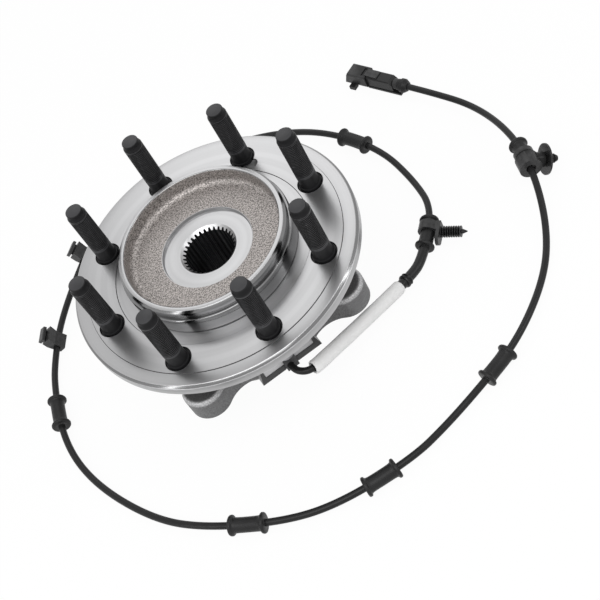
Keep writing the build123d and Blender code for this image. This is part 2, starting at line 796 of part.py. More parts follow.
with BuildPart() as sensor_screw:
    with BuildSketch(Plane.XZ.offset(SENSOR_FRONT)):
        with Locations((0, screw_z)):
            Circle(SCREW_HEAD_R)
    extrude(amount=SCREW_HEAD_T)
    chamfer(sensor_screw.faces().sort_by(Axis.Y)[0].edges(), 0.8)
    with BuildSketch(Plane.XZ.offset(SENSOR_FRONT + SCREW_HEAD_T - SCREW_SOCKET_DEPTH)):
        with Locations((0, screw_z)):
            RegularPolygon(SCREW_SOCKET_R, 6)
    extrude(amount=SCREW_SOCKET_DEPTH, mode=Mode.SUBTRACT)
    with BuildSketch(Plane.XZ.offset(SENSOR_FRONT)):
        with Locations((0, screw_z)):
            Circle(SENSOR_SCREW_R)
    extrude(amount=-(SENSOR_HEAD_T + SCREW_REACH - 1.0))
sensor_screw.part.label = "sensor_screw"
export_step(sensor_screw.part, "parts/sensor_screw.step")

# Lead: straight runs joined by arcs as large as the runs allow
corners = [Vector(*point) for point in ROUTE]
runs = [(after - before).length for before, after in zip(corners, corners[1:])]
turns = []
radii = []
for before, here, after in zip(corners, corners[1:], corners[2:]):
    turn = (here - before).get_angle(after - here)
    shorter = min((here - before).length, (after - here).length)
    turns.append(turn)
    radii.append(0.45 * shorter / tan(radians(turn / 2)))
tangents = [0.0] + [r * tan(radians(t / 2)) for r, t in zip(radii, turns)] + [0.0]
arcs = [0.0] + [r * radians(t) for r, t in zip(radii, turns)] + [0.0]


def length_to_middle(index):
    """Length of the lead from its start to the middle of one run."""
    total = 0.0
    for k in range(index):
        total += runs[k] - tangents[k] - tangents[k + 1] + arcs[k + 1]
    return total + runs[index] / 2 - tangents[index]


with BuildLine() as lead_line:
    FilletPolyline(*ROUTE, radius=radii)
lead_wire = lead_line.wire()
lead_length = lead_wire.length


def tube_between(start, end, outer, inner):
    """Round tube, or a rod where inner is 0, that follows a stretch of the lead."""
    path = lead_wire.trim(start / lead_length, end / lead_length)
    with BuildPart() as tube:
        with BuildSketch(Plane(origin=path @ 0, z_dir=path % 0)):
            Circle(outer)
            if inner:
                Circle(inner, mode=Mode.SUBTRACT)
        sweep(path=path)
    return tube


with BuildPart() as sensor_cable:
    with BuildSketch(Plane(origin=lead_wire @ 0, z_dir=lead_wire % 0)):
        Circle(CABLE_R)
    sweep(path=lead_wire)
sensor_cable.part.label = "sensor_cable"
export_step(sensor_cable.part, "parts/sensor_cable.step")
print("lead length", round(lead_length, 1), "radii", [round(r, 1) for r in radii])
print("lead volume / (section x length)", sensor_cable.part.volume / (pi * CABLE_R**2 * lead_length))

sleeve_end = SLEEVE_START + SLEEVE_LENGTH
cable_sleeve = tube_between(SLEEVE_START, sleeve_end, SLEEVE_R, SLEEVE_BORE_R)
cable_sleeve.part.label = "cable_sleeve"
export_step(cable_sleeve.part, "parts/cable_sleeve.step")

conduit_end = length_to_middle(GROMMET_RUNS[0]) - GROMMET_L / 2 - CONDUIT_END_GAP
cable_conduit = tube_between(sleeve_end - CONDUIT_LAP, conduit_end, CONDUIT_R, CABLE_R + SEAT_FIT)
cable_conduit.part.label = "cable_conduit"
export_step(cable_conduit.part, "parts/cable_conduit.step")

band_start = sleeve_end + BAND_START
conduit_band = tube_between(band_start, band_start + BAND_LENGTH, BAND_R, CONDUIT_R + SEAT_FIT)
conduit_band.part.label = "conduit_band"
export_step(conduit_band.part, "parts/conduit_band.step")


def run_plane(index, roll=0.0):
    """Plane across the middle of a run: X outwards from the hub, Y up, Z back towards the sensor."""
    along = (corners[index + 1] - corners[index]).normalized()
    outward = along.cross(Vector(0, 0, 1)).normalized()
    upward = outward.cross(along)
    middle = (corners[index] + corners[index + 1]) / 2
    x_dir = outward * cos(radians(roll)) + upward * sin(radians(roll))
    return Plane(origin=middle, x_dir=x_dir, z_dir=along * -1)


def lead_core(index, radius):
    """Rod along the lead, from well before to well after a run's middle, that cuts a bore."""
    middle = length_to_middle(index)
    return tube_between(middle - GROMMET_L, middle + GROMMET_L, radius, 0)


def grommet(index):
    """Rubber grommet moulded round the lead: a waist between two rounded collars."""
    across = run_plane(index)
    half = GROMMET_L / 2
    inside = half - GROMMET_COLLAR_W
    round_over = GROMMET_COLLAR_ROUND
    right = [
        (inside - GROMMET_FLARE, GROMMET_BODY_R),
        (inside, GROMMET_BODY_R + COLLAR_FOOT),
        (inside, GROMMET_COLLAR_R - round_over),
        (inside + 0.5 * round_over, GROMMET_COLLAR_R),
        (half - round_over, GROMMET_COLLAR_R),
        (half, GROMMET_COLLAR_R - round_over),
        (half, 0),
    ]
    left = [(-x, y) for x, y in reversed(right)]
    with BuildPart() as piece:
        with BuildSketch(Plane(origin=across.origin, x_dir=across.z_dir, z_dir=across.y_dir)):
            with BuildLine():
                Polyline(*left, *right, close=True)
            make_face()
        revolve(axis=Axis(across.origin, across.z_dir))
        add(lead_core(index, GROMMET_BORE_R).part, mode=Mode.SUBTRACT)
    return piece


for number, run in enumerate(GROMMET_RUNS, start=1):
    rubber = grommet(run)
    rubber.part.label = f"grommet_{number}"
    export_step(rubber.part, f"parts/grommet_{number}.step")


def fir_tree(base, stem_r, fins, pitch, fin_r, tip, tip_r, disc):
    """Push-in pin with flexible fins along a plane's normal; disc adds a seating flange."""
    outline = [(0, 0), (0, stem_r)]
    reach = 0.0
    if disc:
        reach = DISC_NECK
        outline += [(reach, stem_r + DISC_NECK_FLARE), (reach, DISC_R), (reach + DISC_T, DISC_R)]
        reach += DISC_T
        outline += [(reach, stem_r)]
    reach += TREE_BARE
    for _ in range(fins):
        outline += [(reach, stem_r), (reach, fin_r), (reach + TREE_FIN_EDGE, fin_r)]
        outline += [(reach + TREE_FIN_T, stem_r)]
        reach += pitch
    outline += [(reach, stem_r), (reach + tip, tip_r), (reach + tip, 0)]
    with BuildPart() as piece:
        with BuildSketch(Plane(origin=base.origin, x_dir=base.z_dir, z_dir=base.y_dir)):
            with BuildLine():
                Polyline(*outline, close=True)
            make_face()
        revolve(axis=Axis(base.origin, base.z_dir))
    return piece


# Strap and flat base round the first grommet, with its fir tree
across_one = run_plane(GROMMET_RUNS[0])
base_start, base_end = STRAP_ONE_BASE
strap_start, strap_end = STRAP_ONE_SPAN
plate_foot = across_one.origin + across_one.x_dir * BASE_INNER
plate_one = Plane(origin=plate_foot, x_dir=across_one.z_dir, z_dir=across_one.x_dir)
with BuildPart() as clip_band_1:
    with BuildSketch(across_one.offset(strap_start)):
        Circle(STRAP_R)
        with Locations((BASE_OUTER / 2, 0)):
            Rectangle(BASE_OUTER, 2 * BASE_HALF_H)
    extrude(amount=strap_end - strap_start)
    with BuildSketch(plate_one):
        with Locations((base_start, 0)):
            Rectangle(
                base_end - BASE_HALF_H - base_start,
                2 * BASE_HALF_H,
                align=(Align.MIN, Align.CENTER),
            )
        with Locations((base_end - BASE_HALF_H, 0)):
            Circle(BASE_HALF_H)
    extrude(amount=BASE_OUTER - BASE_INNER)
    with BuildSketch(across_one.offset(strap_start)):
        Circle(GROMMET_BODY_R + STRAP_FIT)
    extrude(amount=strap_end - strap_start, mode=Mode.SUBTRACT)
clip_band_1.part.label = "clip_band_1"
export_step(clip_band_1.part, "parts/clip_band_1.step")

tree_foot = across_one.origin + across_one.x_dir * BASE_OUTER + across_one.z_dir * TREE_ONE_SHIFT
tree_one = Plane(origin=tree_foot, x_dir=across_one.y_dir, z_dir=across_one.x_dir)
fir_tree_1 = fir_tree(
    tree_one, TREE_STEM_R, TREE_FINS, TREE_FIN_PITCH, TREE_FIN_R, TREE_TIP, TREE_TIP_R, False
)
fir_tree_1.part.label = "fir_tree_1"
export_step(fir_tree_1.part, "parts/fir_tree_1.step")

# Strap round the last grommet, with a shell over its collar that carries a disc and a dowel
across_seven = run_plane(GROMMET_RUNS[-1], SEVEN_ROLL)
seven_foot = (
    across_seven.origin + across_seven.x_dir * SEVEN_REACH + across_seven.z_dir * SEVEN_SHIFT
)
tree_seven = Plane(origin=seven_foot, x_dir=across_seven.y_dir, z_dir=across_seven.x_dir)
strap_start, strap_end = STRAP_SEVEN_SPAN
shell_start, shell_end = SEVEN_SHELL_SPAN
collar_start = GROMMET_L / 2 - GROMMET_COLLAR_W - STRAP_END_GAP
plate_start = shell_end - SEVEN_END_PLATE
with BuildPart() as clip_band_7:
    with BuildSketch(across_seven.offset(strap_start)):
        Circle(STRAP_R)
    extrude(amount=strap_end - strap_start)
    with BuildSketch(across_seven.offset(strap_end)):
        Circle(SEVEN_GROOVE_R)
    extrude(amount=shell_start - strap_end)
    with BuildSketch(across_seven.offset(shell_start)):
        Circle(SEVEN_SHELL_R)
    extrude(amount=shell_end - shell_start)
    with BuildSketch(tree_seven):
        Circle(SEVEN_ARM_R)
    extrude(amount=SEVEN_ARM_ROOT - SEVEN_REACH)
    with BuildSketch(across_seven.offset(strap_start)):
        Circle(GROMMET_BODY_R + STRAP_FIT)
    extrude(amount=shell_start - strap_start, mode=Mode.SUBTRACT)
    with BuildSketch(across_seven.offset(shell_start)):
        Circle(GROMMET_BODY_R + COLLAR_FOOT + STRAP_FIT)
    extrude(amount=collar_start - shell_start, mode=Mode.SUBTRACT)
    with BuildSketch(across_seven.offset(collar_start)):
        Circle(GROMMET_COLLAR_R + STRAP_FIT)
    extrude(amount=plate_start - collar_start, mode=Mode.SUBTRACT)
    with BuildSketch(across_seven.offset(plate_start)):
        Circle(SEVEN_END_BORE_R)
    extrude(amount=SEVEN_END_PLATE, mode=Mode.SUBTRACT)
clip_band_7.part.label = "clip_band_7"
export_step(clip_band_7.part, "parts/clip_band_7.step")

fir_tree_7 = fir_tree(
    tree_seven, DOWEL_STEM_R, DOWEL_FINS, DOWEL_FIN_PITCH, DOWEL_FIN_R, DOWEL_TIP, DOWEL_TIP_R, True
)
fir_tree_7.part.label = "fir_tree_7"
export_step(fir_tree_7.part, "parts/fir_tree_7.step")


def route_clip(index, roll, shift, offset):
    """Square clip closed round the lead: a ramped block, and an arm joined to it by a hinge."""
    across = run_plane(index, roll).offset(-shift)
    near_end = across.offset(-CLIP_L / 2)
    arm_in = CLIP_OUTER + CLIP_SLOT_W
    arm_out = arm_in + CLIP_ARM_W
    hinge_in = CLIP_OUTER - CLIP_SLOT_W
    hinge_out = arm_in + CLIP_SLOT_W
    hinge_top = CLIP_HINGE_T - CLIP_ARM_LOW
    block = [
        (-CLIP_INNER, -CLIP_INNER_LOW),
        (-CLIP_FOOT_X, -CLIP_SHOULDER),
        (CLIP_FOOT_X, -CLIP_FOOT_LOW),
        (CLIP_OUTER, -CLIP_OUTER_LOW),
        (CLIP_OUTER, CLIP_PEAK),
        (CLIP_RAMP_X, CLIP_SHOULDER),
        (-CLIP_INNER, CLIP_SHOULDER),
    ]
    arm = [
        (arm_in, -CLIP_ARM_LOW),
        (arm_out, -CLIP_ARM_LOW),
        (arm_out, CLIP_ARM_HIGH - CLIP_ARM_BEVEL),
        (arm_out - CLIP_ARM_BEVEL, CLIP_ARM_HIGH),
        (arm_in, CLIP_ARM_HIGH),
    ]
    hinge = [
        (hinge_in, -CLIP_ARM_LOW),
        (hinge_out, -CLIP_ARM_LOW),
        (hinge_out, hinge_top),
        (hinge_in, hinge_top),
    ]
    with BuildPart() as piece:
        for outline, recess in ((block, 0), (arm, 0), (hinge, CLIP_HINGE_RECESS)):
            with BuildSketch(near_end.offset(recess)):
                with BuildLine():
                    Polyline(*[(x + offset[0], y + offset[1]) for x, y in outline], close=True)
                make_face()
            extrude(amount=CLIP_L - recess)
        add(lead_core(index, CLIP_BORE_R).part, mode=Mode.SUBTRACT)
    return piece


clip_settings = zip(ROUTE_CLIP_RUNS, ROUTE_CLIP_ROLLS, ROUTE_CLIP_SHIFTS, ROUTE_CLIP_OFFSETS)
for number, (run, roll, shift, offset) in enumerate(clip_settings, start=1):
    clip = route_clip(run, roll, shift, offset)
    clip.part.label = f"route_clip_{number}"
    export_step(clip.part, f"parts/route_clip_{number}.step")

# Plug: neck and square back on a base, wider hood with a slanted mouth, feet, contacts and lock
plug_end = corners[-1]
plug_axis = (plug_end - corners[-2]).normalized()
plug_side = Vector(0, 0, 1).cross(plug_axis).normalized()
plug_face = Plane(origin=plug_end, x_dir=plug_side, z_dir=plug_axis)
plug_flank = Plane(origin=plug_end, x_dir=plug_axis, z_dir=plug_side * -1)
hood_start = PLUG_BACK_L
hood_end = PLUG_BACK_L + HOOD_L
cavity_start = hood_start + HOOD_FLOOR_T
mouth_slope = HOOD_MOUTH_SLANT / (2 * HOOD_HALF_H)
base_low = PLUG_BACK_HALF + PLUG_BASE_T
with BuildPart() as connector_body:
    with BuildSketch(plug_face):
        RectangleRounded(2 * PLUG_BACK_HALF, 2 * PLUG_BACK_HALF, PLUG_ROUND)
    extrude(amount=PLUG_BACK_L)
    with BuildSketch(plug_flank):
        with BuildLine():
            Polyline(
                (-1.0, PLUG_BACK_HALF - PLUG_BACK_BEVEL - 1.0),
                (PLUG_BACK_BEVEL + 1.0, PLUG_BACK_HALF + 1.0),
                (-1.0, PLUG_BACK_HALF + 1.0),
                close=True,
            )
        make_face()
    extrude(amount=HOOD_HALF_W, both=True, mode=Mode.SUBTRACT)
    with BuildSketch(plug_face.offset(-PLUG_NECK_L)):
        Circle(PLUG_NECK_R)
    extrude(amount=PLUG_NECK_L)
    with BuildSketch(plug_face.offset(-PLUG_BASE_BACK)):
        with Locations((0, -base_low)):
            Rectangle(2 * PLUG_BASE_HALF_W, PLUG_BASE_T, align=(Align.CENTER, Align.MIN))
    extrude(amount=PLUG_BASE_BACK + hood_start)
    with BuildSketch(plug_face.offset(-PLUG_BASE_BACK)):
        Circle(SEAL_RING_R + STRAP_FIT)
    extrude(amount=PLUG_BASE_BACK - PLUG_NECK_L, mode=Mode.SUBTRACT)
    with BuildSketch(plug_face.offset(-PLUG_NECK_L)):
        Circle(GROMMET_BORE_R)
    extrude(amount=PLUG_NECK_L, mode=Mode.SUBTRACT)
    with BuildSketch(plug_face.offset(hood_start)):
        RectangleRounded(2 * HOOD_HALF_W, 2 * HOOD_HALF_H, HOOD_ROUND)
    extrude(amount=HOOD_L)
    with BuildSketch(plug_face.offset(cavity_start)):
        RectangleRounded(
            2 * (HOOD_HALF_W - HOOD_WALL), 2 * (HOOD_HALF_H - HOOD_WALL), HOOD_ROUND / 2
        )
    extrude(amount=hood_end - cavity_start, mode=Mode.SUBTRACT)
    with BuildSketch(plug_flank):
        with BuildLine():
            Polyline(
                (hood_end - HOOD_MOUTH_SLANT - mouth_slope, HOOD_HALF_H + 1.0),
                (hood_end + mouth_slope, -HOOD_HALF_H - 1.0),
                (hood_end + mouth_slope, HOOD_HALF_H + 1.0),
                close=True,
            )
        make_face()
    extrude(amount=HOOD_HALF_W + 1.0, both=True, mode=Mode.SUBTRACT)
    with BuildSketch(plug_face.offset(hood_end - FOOT_BACK)):
        for side in (-1, 1):
            with Locations((side * (FOOT_HALF_SPAN + HOOD_HALF_W - HOOD_WALL) / 2, FOOT_Z - plug_end.Z)):
                Rectangle(
                    FOOT_HALF_SPAN - HOOD_HALF_W + HOOD_WALL,
                    FOOT_T + HOOD_WALL,
                    align=(Align.CENTER, Align.MIN),
                )
    extrude(amount=FOOT_L)
    with BuildSketch(plug_face.offset(hood_start)):
        with Locations((0, HOOD_HALF_H)):
            Rectangle(
                2 * (LOCK_HALF_W + LOCK_SIDE_FIT),
                2 * (HOOD_HALF_H - PLUG_BACK_HALF),
            )
    extrude(amount=LOCK_START + LOCK_L + LOCK_TRAVEL + LOCK_SIDE_FIT - hood_start, mode=Mode.SUBTRACT)
connector_body.part.label = "connector_body"
export_step(connector_body.part, "parts/connector_body.step")

with BuildPart() as connector_lock:
    with BuildSketch(plug_face.offset(LOCK_START)):
        with Locations((0, PLUG_BACK_HALF + LOCK_FIT + LOCK_T / 2)):
            Rectangle(2 * LOCK_HALF_W, LOCK_T)
    extrude(amount=LOCK_L)
    back_edge = connector_lock.faces().sort_by(Axis(plug_end, plug_axis))[0].edges()
    chamfer(back_edge.sort_by(Axis.Z)[-1], 0.6)
connector_lock.part.label = "connector_lock"
export_step(connector_lock.part, "parts/connector_lock.step")

with BuildPart() as connector_pins:
    with BuildSketch(plug_face.offset(cavity_start)):
        with Locations((-PIN_PITCH / 2, 0), (PIN_PITCH / 2, 0)):
            Circle(PIN_R)
    extrude(amount=PIN_L)
connector_pins.part.label = "connector_pins"
export_step(connector_pins.part, "parts/connector_pins.step")

seal_back = plug_end - plug_axis * (PLUG_NECK_L + SEAL_RING_L)
seal_plane = Plane(origin=seal_back, x_dir=plug_axis, z_dir=plug_side)
with BuildPart() as connector_seal:
    with BuildSketch(seal_plane):
        with BuildLine():
            Polyline(
                (0, GROMMET_BORE_R),
                (0, SEAL_RING_NOSE),
                (SEAL_NOSE_L, SEAL_RING_R),
                (SEAL_NOSE_L + SEAL_RIDGE_L, SEAL_RING_R),
                (SEAL_NOSE_L + SEAL_RIDGE_L + SEAL_STEP, SEAL_FOOT_R),
                (SEAL_RING_L, SEAL_FOOT_R),
                (SEAL_RING_L, GROMMET_BORE_R),
                close=True,
            )
        make_face()
    revolve(axis=Axis(seal_back, plug_axis))
connector_seal.part.label = "connector_seal"
export_step(connector_seal.part, "parts/connector_seal.step")
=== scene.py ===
"""Dresses the wheel hub unit: turned and forged steel, threaded studs and the sensor's lead."""
from math import cos, hypot, pi, radians, sin

import bmesh
import bpy
from bpy.props import FloatProperty, FloatVectorProperty, IntProperty, PointerProperty
from mathutils import Matrix, Vector


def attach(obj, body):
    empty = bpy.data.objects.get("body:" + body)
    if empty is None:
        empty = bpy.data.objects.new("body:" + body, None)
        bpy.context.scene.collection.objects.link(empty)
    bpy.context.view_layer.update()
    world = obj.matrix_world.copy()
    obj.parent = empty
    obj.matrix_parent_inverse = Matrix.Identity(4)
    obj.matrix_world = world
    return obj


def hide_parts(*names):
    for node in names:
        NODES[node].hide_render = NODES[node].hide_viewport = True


bl_info = {
    "name": "Wheel hub unit",
    "version": (1, 0, 0),
    "blender": (4, 5, 0),
    "location": "View3D > Sidebar > Hub unit",
    "description": "Builds a driven wheel hub with its studs, bearing housing and sensor lead",
    "category": "Object",
}

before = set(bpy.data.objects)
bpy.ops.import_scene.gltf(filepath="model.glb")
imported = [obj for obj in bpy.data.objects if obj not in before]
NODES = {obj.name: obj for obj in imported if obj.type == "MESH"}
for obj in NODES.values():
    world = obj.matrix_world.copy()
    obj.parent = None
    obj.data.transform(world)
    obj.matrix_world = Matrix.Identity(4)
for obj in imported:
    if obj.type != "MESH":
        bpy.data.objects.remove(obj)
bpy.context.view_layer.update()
MM = 0.001

# Centre line of the sensor's lead, from the sensor to the plug, in millimetres
LEAD_ROUTE_MM = [
    (-1.5, -79.1, 41.9), (-1.5, -84.8, 41.9), (3.0, -90.6, 41.6), (9.3, -91.7, 40.2),
    (21.7, -86.6, 35.8), (44.2, -76.6, 26.8), (103.5, -54.0, 8.9), (119.0, -46.0, 7.5),
    (149.0, -15.0, 7.5), (155.0, 20.0, 4.0), (153.0, 63.0, 7.25), (133.0, 111.0, 7.25),
    (104.0, 147.0, 4.0), (64.0, 171.0, 3.0), (18.0, 181.0, 3.0), (-27.0, 182.0, 3.0),
    (-67.9, 167.0, 6.9), (-96.8, 141.0, 6.9), (-122.7, 113.1, 6.9), (-138.7, 88.2, 6.9),
    (-151.0, 63.0, 7.25), (-165.0, 12.0, 7.25), (-161.0, -33.0, 3.5), (-138.0, -87.0, 3.5),
    (-110.0, -121.0, 7.25), (-62.0, -155.0, 7.25), (-24.0, -168.0, 7.25), (27.0, -172.0, 7.25),
    (55.0, -166.0, 4.5), (87.0, -160.0, 7.25), (128.0, -148.0, 7.25), (171.0, -119.0, 4.0),
    (197.0, -89.0, 5.0), (215.6, -54.4, 17.2), (227.5, -11.7, 17.2), (229.0, 42.0, 6.0),
    (211.8, 81.3, 8.0), (198.0, 110.3, 8.0),
]
# Runs of the route, by the point where each starts, that have a grommet at their middle
GROMMET_RUNS = (7, 10, 20, 24, 26, 29, 33)
STATION_SPACING = 0.0012
FIT_GAP = 0.00002
CLIP_NODES = (
    "clip_band_1", "fir_tree_1", "clip_band_7", "fir_tree_7", "route_clip_1", "route_clip_2",
)

# The photograph's camera
CAMERA_AT = (-0.02177, -0.62150, 0.74396)
CAMERA_RIGHT = (0.80636, -0.48317, -0.34107)
CAMERA_UP = (0.58866, 0.60003, 0.54171)
CAMERA_BACK = (-0.05709, -0.63759, 0.76826)
CAMERA_LENS_MM = 79.88
SENSOR_MM = 36.0


def length_setting(name, description, default):
    return FloatProperty(name=name, description=description, default=default, unit="LENGTH")


def power_setting(name, description, default):
    return FloatProperty(name=name, description=description, default=default, unit="POWER")


def colour_setting(name, description, default):
    return FloatVectorProperty(
        name=name, description=description, subtype="COLOR", size=3, default=default, min=0, max=1
    )


class LeadSettings(bpy.types.PropertyGroup):
    """Sizes and colours of the sensor's lead and what is on it."""

    cable_diameter: length_setting("Cable diameter", "Outer diameter of the jacket", 0.005)
    sleeve_diameter: length_setting("Sleeve diameter", "Diameter of the pale heat sleeve", 0.0102)
    conduit_diameter: length_setting("Conduit diameter", "Diameter of the black conduit", 0.0075)
    grommet_diameter: length_setting("Grommet diameter", "Diameter over the collars", 0.0142)
    jacket_colour: colour_setting(
        "Jacket colour", "Colour of the cable's jacket", (0.013, 0.013, 0.0133)
    )
    sleeve_colour: colour_setting("Sleeve colour", "Colour of the woven sleeve", (0.8, 0.8, 0.797))


class HubSettings(bpy.types.PropertyGroup):
    """Sizes and colours of the wheel hub and its studs."""

    segments: IntProperty(
        name="Segments per tooth", description="Steps round the hub for each spline tooth",
        default=12, min=8,
    )
    spline_teeth: IntProperty(
        name="Spline teeth", description="Teeth in the axle bore", default=33, min=8
    )
    thread_pitch: length_setting("Thread pitch", "Pitch of the wheel studs' thread", 0.0015)
    steel_colour: colour_setting("Steel colour", "Colour of the turned steel", (0.42, 0.42, 0.425))
    forged_colour: colour_setting(
        "Forged colour", "Colour of the shot-blasted forging in the bowl", (0.295, 0.274, 0.262)
    )
    stud_colour: colour_setting(
        "Stud colour", "Colour of the studs' phosphate coating", (0.011, 0.011, 0.0117)
    )


class HousingSettings(bpy.types.PropertyGroup):
    """Colours of the fixed bearing housing and its sensor's pad."""

    skin_colour: colour_setting("Skin colour", "Colour of the as-forged skin", (0.20, 0.20, 0.203))
    milled_colour: colour_setting("Milled colour", "Colour of the milled faces", (0.55, 0.55, 0.56))


class StageSettings(bpy.types.PropertyGroup):
    """Strengths of the studio's lights."""

    key_power: power_setting("Key power", "Power of the soft lamp behind the hub", 2.0)
    fill_power: power_setting("Fill power", "Power of the wide lamp overhead", 10.0)
    rim_power: power_setting("Rim power", "Power of each strip lamp at the sides", 2.5)
    sky_strength: FloatProperty(
        name="Sky strength", description="Strength of the even light from all round",
        default=0.62, min=0,
    )


# Material building

# Materials by the name of their finish; Shader fills it
FINISHES = {}


class Shader:
    """A material being made, with its Principled shader and short ways to add nodes."""

    def __init__(self, name, **sockets):
        self.material = bpy.data.materials.new(f"{name}_finish")
        FINISHES[name] = self.material
        self.material.use_nodes = True
        self.tree = self.material.node_tree
        self.shader = self.tree.nodes["Principled BSDF"]
        for key, value in sockets.items():
            self.shader.inputs[key.replace("_", " ")].default_value = value

    def node(self, kind, **values):
        return add_node(self.tree, kind, **values)

    def link(self, output, target):
        self.tree.links.new(output, target)

    def into(self, output, socket):
        self.tree.links.new(output, self.shader.inputs[socket])

    def group(self, name, **values):
        node = self.node("ShaderNodeGroup")
        node.node_tree = bpy.data.node_groups[name]
        for key, value in values.items():
            node.inputs[key.replace("_", " ")].default_value = value
        return node

    def bump(self, height, distance):
        node = self.node("ShaderNodeBump")
        node.inputs["Distance"].default_value = distance
        self.link(height, node.inputs["Height"])
        return node.outputs[0]

    def ramp(self, factor, low, high, start=0.0, end=1.0):
        """A colour that runs from low to high as the factor goes from start to end."""
        node = self.node("ShaderNodeValToRGB")
        stops = node.color_ramp.elements
        stops[0].position, stops[1].position = start, end
        stops[0].color = (*low, 1.0)
        stops[1].color = (*high, 1.0)
        self.link(factor, node.inputs["Fac"])
        return node.outputs["Color"]

    def spread(self, factor, low, high):
        """A number that runs from low to high as the factor goes from 0 to 1."""
        node = self.node("ShaderNodeMapRange")
        node.inputs["To Min"].default_value = low
        node.inputs["To Max"].default_value = high
        self.link(factor, node.inputs["Value"])
        return node.outputs[0]

    def mix(self, factor, first, second, blend="MIX"):
        """Two colours mixed by a factor; each of the three is a value or a socket."""
        node = self.node("ShaderNodeMix", data_type="RGBA", blend_type=blend)
        for socket, value in (("Factor", factor), ("A", first), ("B", second)):
            if isinstance(value, bpy.types.NodeSocket):
                self.link(value, node.inputs[socket])
            else:
                node.inputs[socket].default_value = value
        return node.outputs["Result"]


def shade(colour, share):
    """A colour times a share, no brighter than white."""
    return tuple(min(1.0, share * c) for c in colour)


def add_node(tree, kind, **values):
    node = tree.nodes.new(kind)
    for key, value in values.items():
        setattr(node, key, value)
    return node


def new_group(name, inputs, outputs):
    """A shader node group with float sockets, its input node and its output node."""
    tree = bpy.data.node_groups.new(name, "ShaderNodeTree")
    for label, default in inputs:
        socket = tree.interface.new_socket(label, in_out="INPUT", socket_type="NodeSocketFloat")
        socket.default_value = default
    for label in outputs:
        tree.interface.new_socket(label, in_out="OUTPUT", socket_type="NodeSocketFloat")
    return tree, tree.nodes.new("NodeGroupInput"), tree.nodes.new("NodeGroupOutput")


def maths(tree, operation, first, second=None):
    """A Math node whose inputs are numbers or sockets."""
    node = add_node(tree, "ShaderNodeMath", operation=operation)
    for index, value in enumerate((first, second)):
        if value is None:
            continue
        if isinstance(value, (int, float)):
            node.inputs[index].default_value = value
        else:
            tree.links.new(value, node.inputs[index])
    return node.outputs[0]


def seen_rays(tree):
    """1 for the rays of the camera, of shiny faces and of clear ones, and 0 for the rest."""
    path = tree.nodes.new("ShaderNodeLightPath")
    seen = path.outputs["Is Camera Ray"]
    for kind in ("Is Glossy Ray", "Is Transmission Ray"):
        seen = maths(tree, "MAXIMUM", seen, path.outputs[kind])
    return seen


def noise_value(tree, place, scale, detail=2.0, dimensions="3D"):
    """Value of a noise at a place, with a number or a socket for its scale."""
    noise = add_node(tree, "ShaderNodeTexNoise", noise_dimensions=dimensions)
    noise.inputs["Detail"].default_value = detail
    tree.links.new(place, noise.inputs["Vector"])
    if isinstance(scale, float):
        noise.inputs["Scale"].default_value = scale
    else:
        tree.links.new(scale, noise.inputs["Scale"])
    return noise.outputs["Fac"]


def make_turning_marks():
    """Fine rings about the hub's axis, as a lathe tool leaves them on faces and walls."""
    tree, given, result = new_group(
        "turning_marks", [("Pitch", 0.00035), ("Drift", 0.004)], ["Height", "Tone"]
    )
    place = tree.nodes.new("ShaderNodeTexCoord")
    split = tree.nodes.new("ShaderNodeSeparateXYZ")
    tree.links.new(place.outputs["Object"], split.inputs[0])
    squares = [maths(tree, "MULTIPLY", split.outputs[axis], split.outputs[axis]) for axis in "XY"]
    radius = maths(tree, "SQRT", maths(tree, "ADD", *squares))
    for label, spacing in (("Height", "Pitch"), ("Tone", "Drift")):
        place_on = tree.nodes.new("ShaderNodeCombineXYZ")
        tree.links.new(maths(tree, "DIVIDE", radius, given.outputs[spacing]), place_on.inputs["X"])
        tree.links.new(
            maths(tree, "DIVIDE", split.outputs["Z"], given.outputs[spacing]), place_on.inputs["Y"]
        )
        rings = noise_value(tree, place_on.outputs[0], 1.0, dimensions="2D")
        tree.links.new(rings, result.inputs[label])


def make_grain():
    """Small bumps of a moulded, cast or blasted skin, with slow patches over them."""
    tree, given, result = new_group(
        "grain", [("Size", 0.0006), ("Patch", 0.012)], ["Height", "Tone", "Patches"]
    )
    place = tree.nodes.new("ShaderNodeTexCoord")
    for label, spacing, detail in (("Height", "Size", 2.0), ("Patches", "Patch", 3.0)):
        scale = maths(tree, "DIVIDE", 1.0, given.outputs[spacing])
        noise = noise_value(tree, place.outputs["Object"], scale, detail)
        tree.links.new(noise, result.inputs[label])
        if label == "Height":
            sharp = tree.nodes.new("ShaderNodeMapRange")
            sharp.inputs["From Min"].default_value = 0.35
            sharp.inputs["From Max"].default_value = 0.65
            tree.links.new(noise, sharp.inputs["Value"])
            tree.links.new(sharp.outputs[0], result.inputs["Tone"])


def make_edge_wear_and_glint():
    """Mask of the corners that stand out, broken up by a noise: partly wear and partly a painted
    highlight on edges.
    """
    tree, given, result = new_group("edge_wear", [("Break Up", 0.003), ("Reach", 0.53)], ["Mask"])
    point = tree.nodes.new("ShaderNodeNewGeometry")
    place = tree.nodes.new("ShaderNodeTexCoord")
    scale = maths(tree, "DIVIDE", 1.0, given.outputs["Break Up"])
    noise = noise_value(tree, place.outputs["Object"], scale)
    edge = tree.nodes.new("ShaderNodeMapRange")
    tree.links.new(point.outputs["Pointiness"], edge.inputs["Value"])
    tree.links.new(given.outputs["Reach"], edge.inputs["From Min"])
    edge.inputs["From Max"].default_value = 0.60
    mask = maths(tree, "MULTIPLY", edge.outputs[0], noise)
    tree.links.new(mask, result.inputs["Mask"])


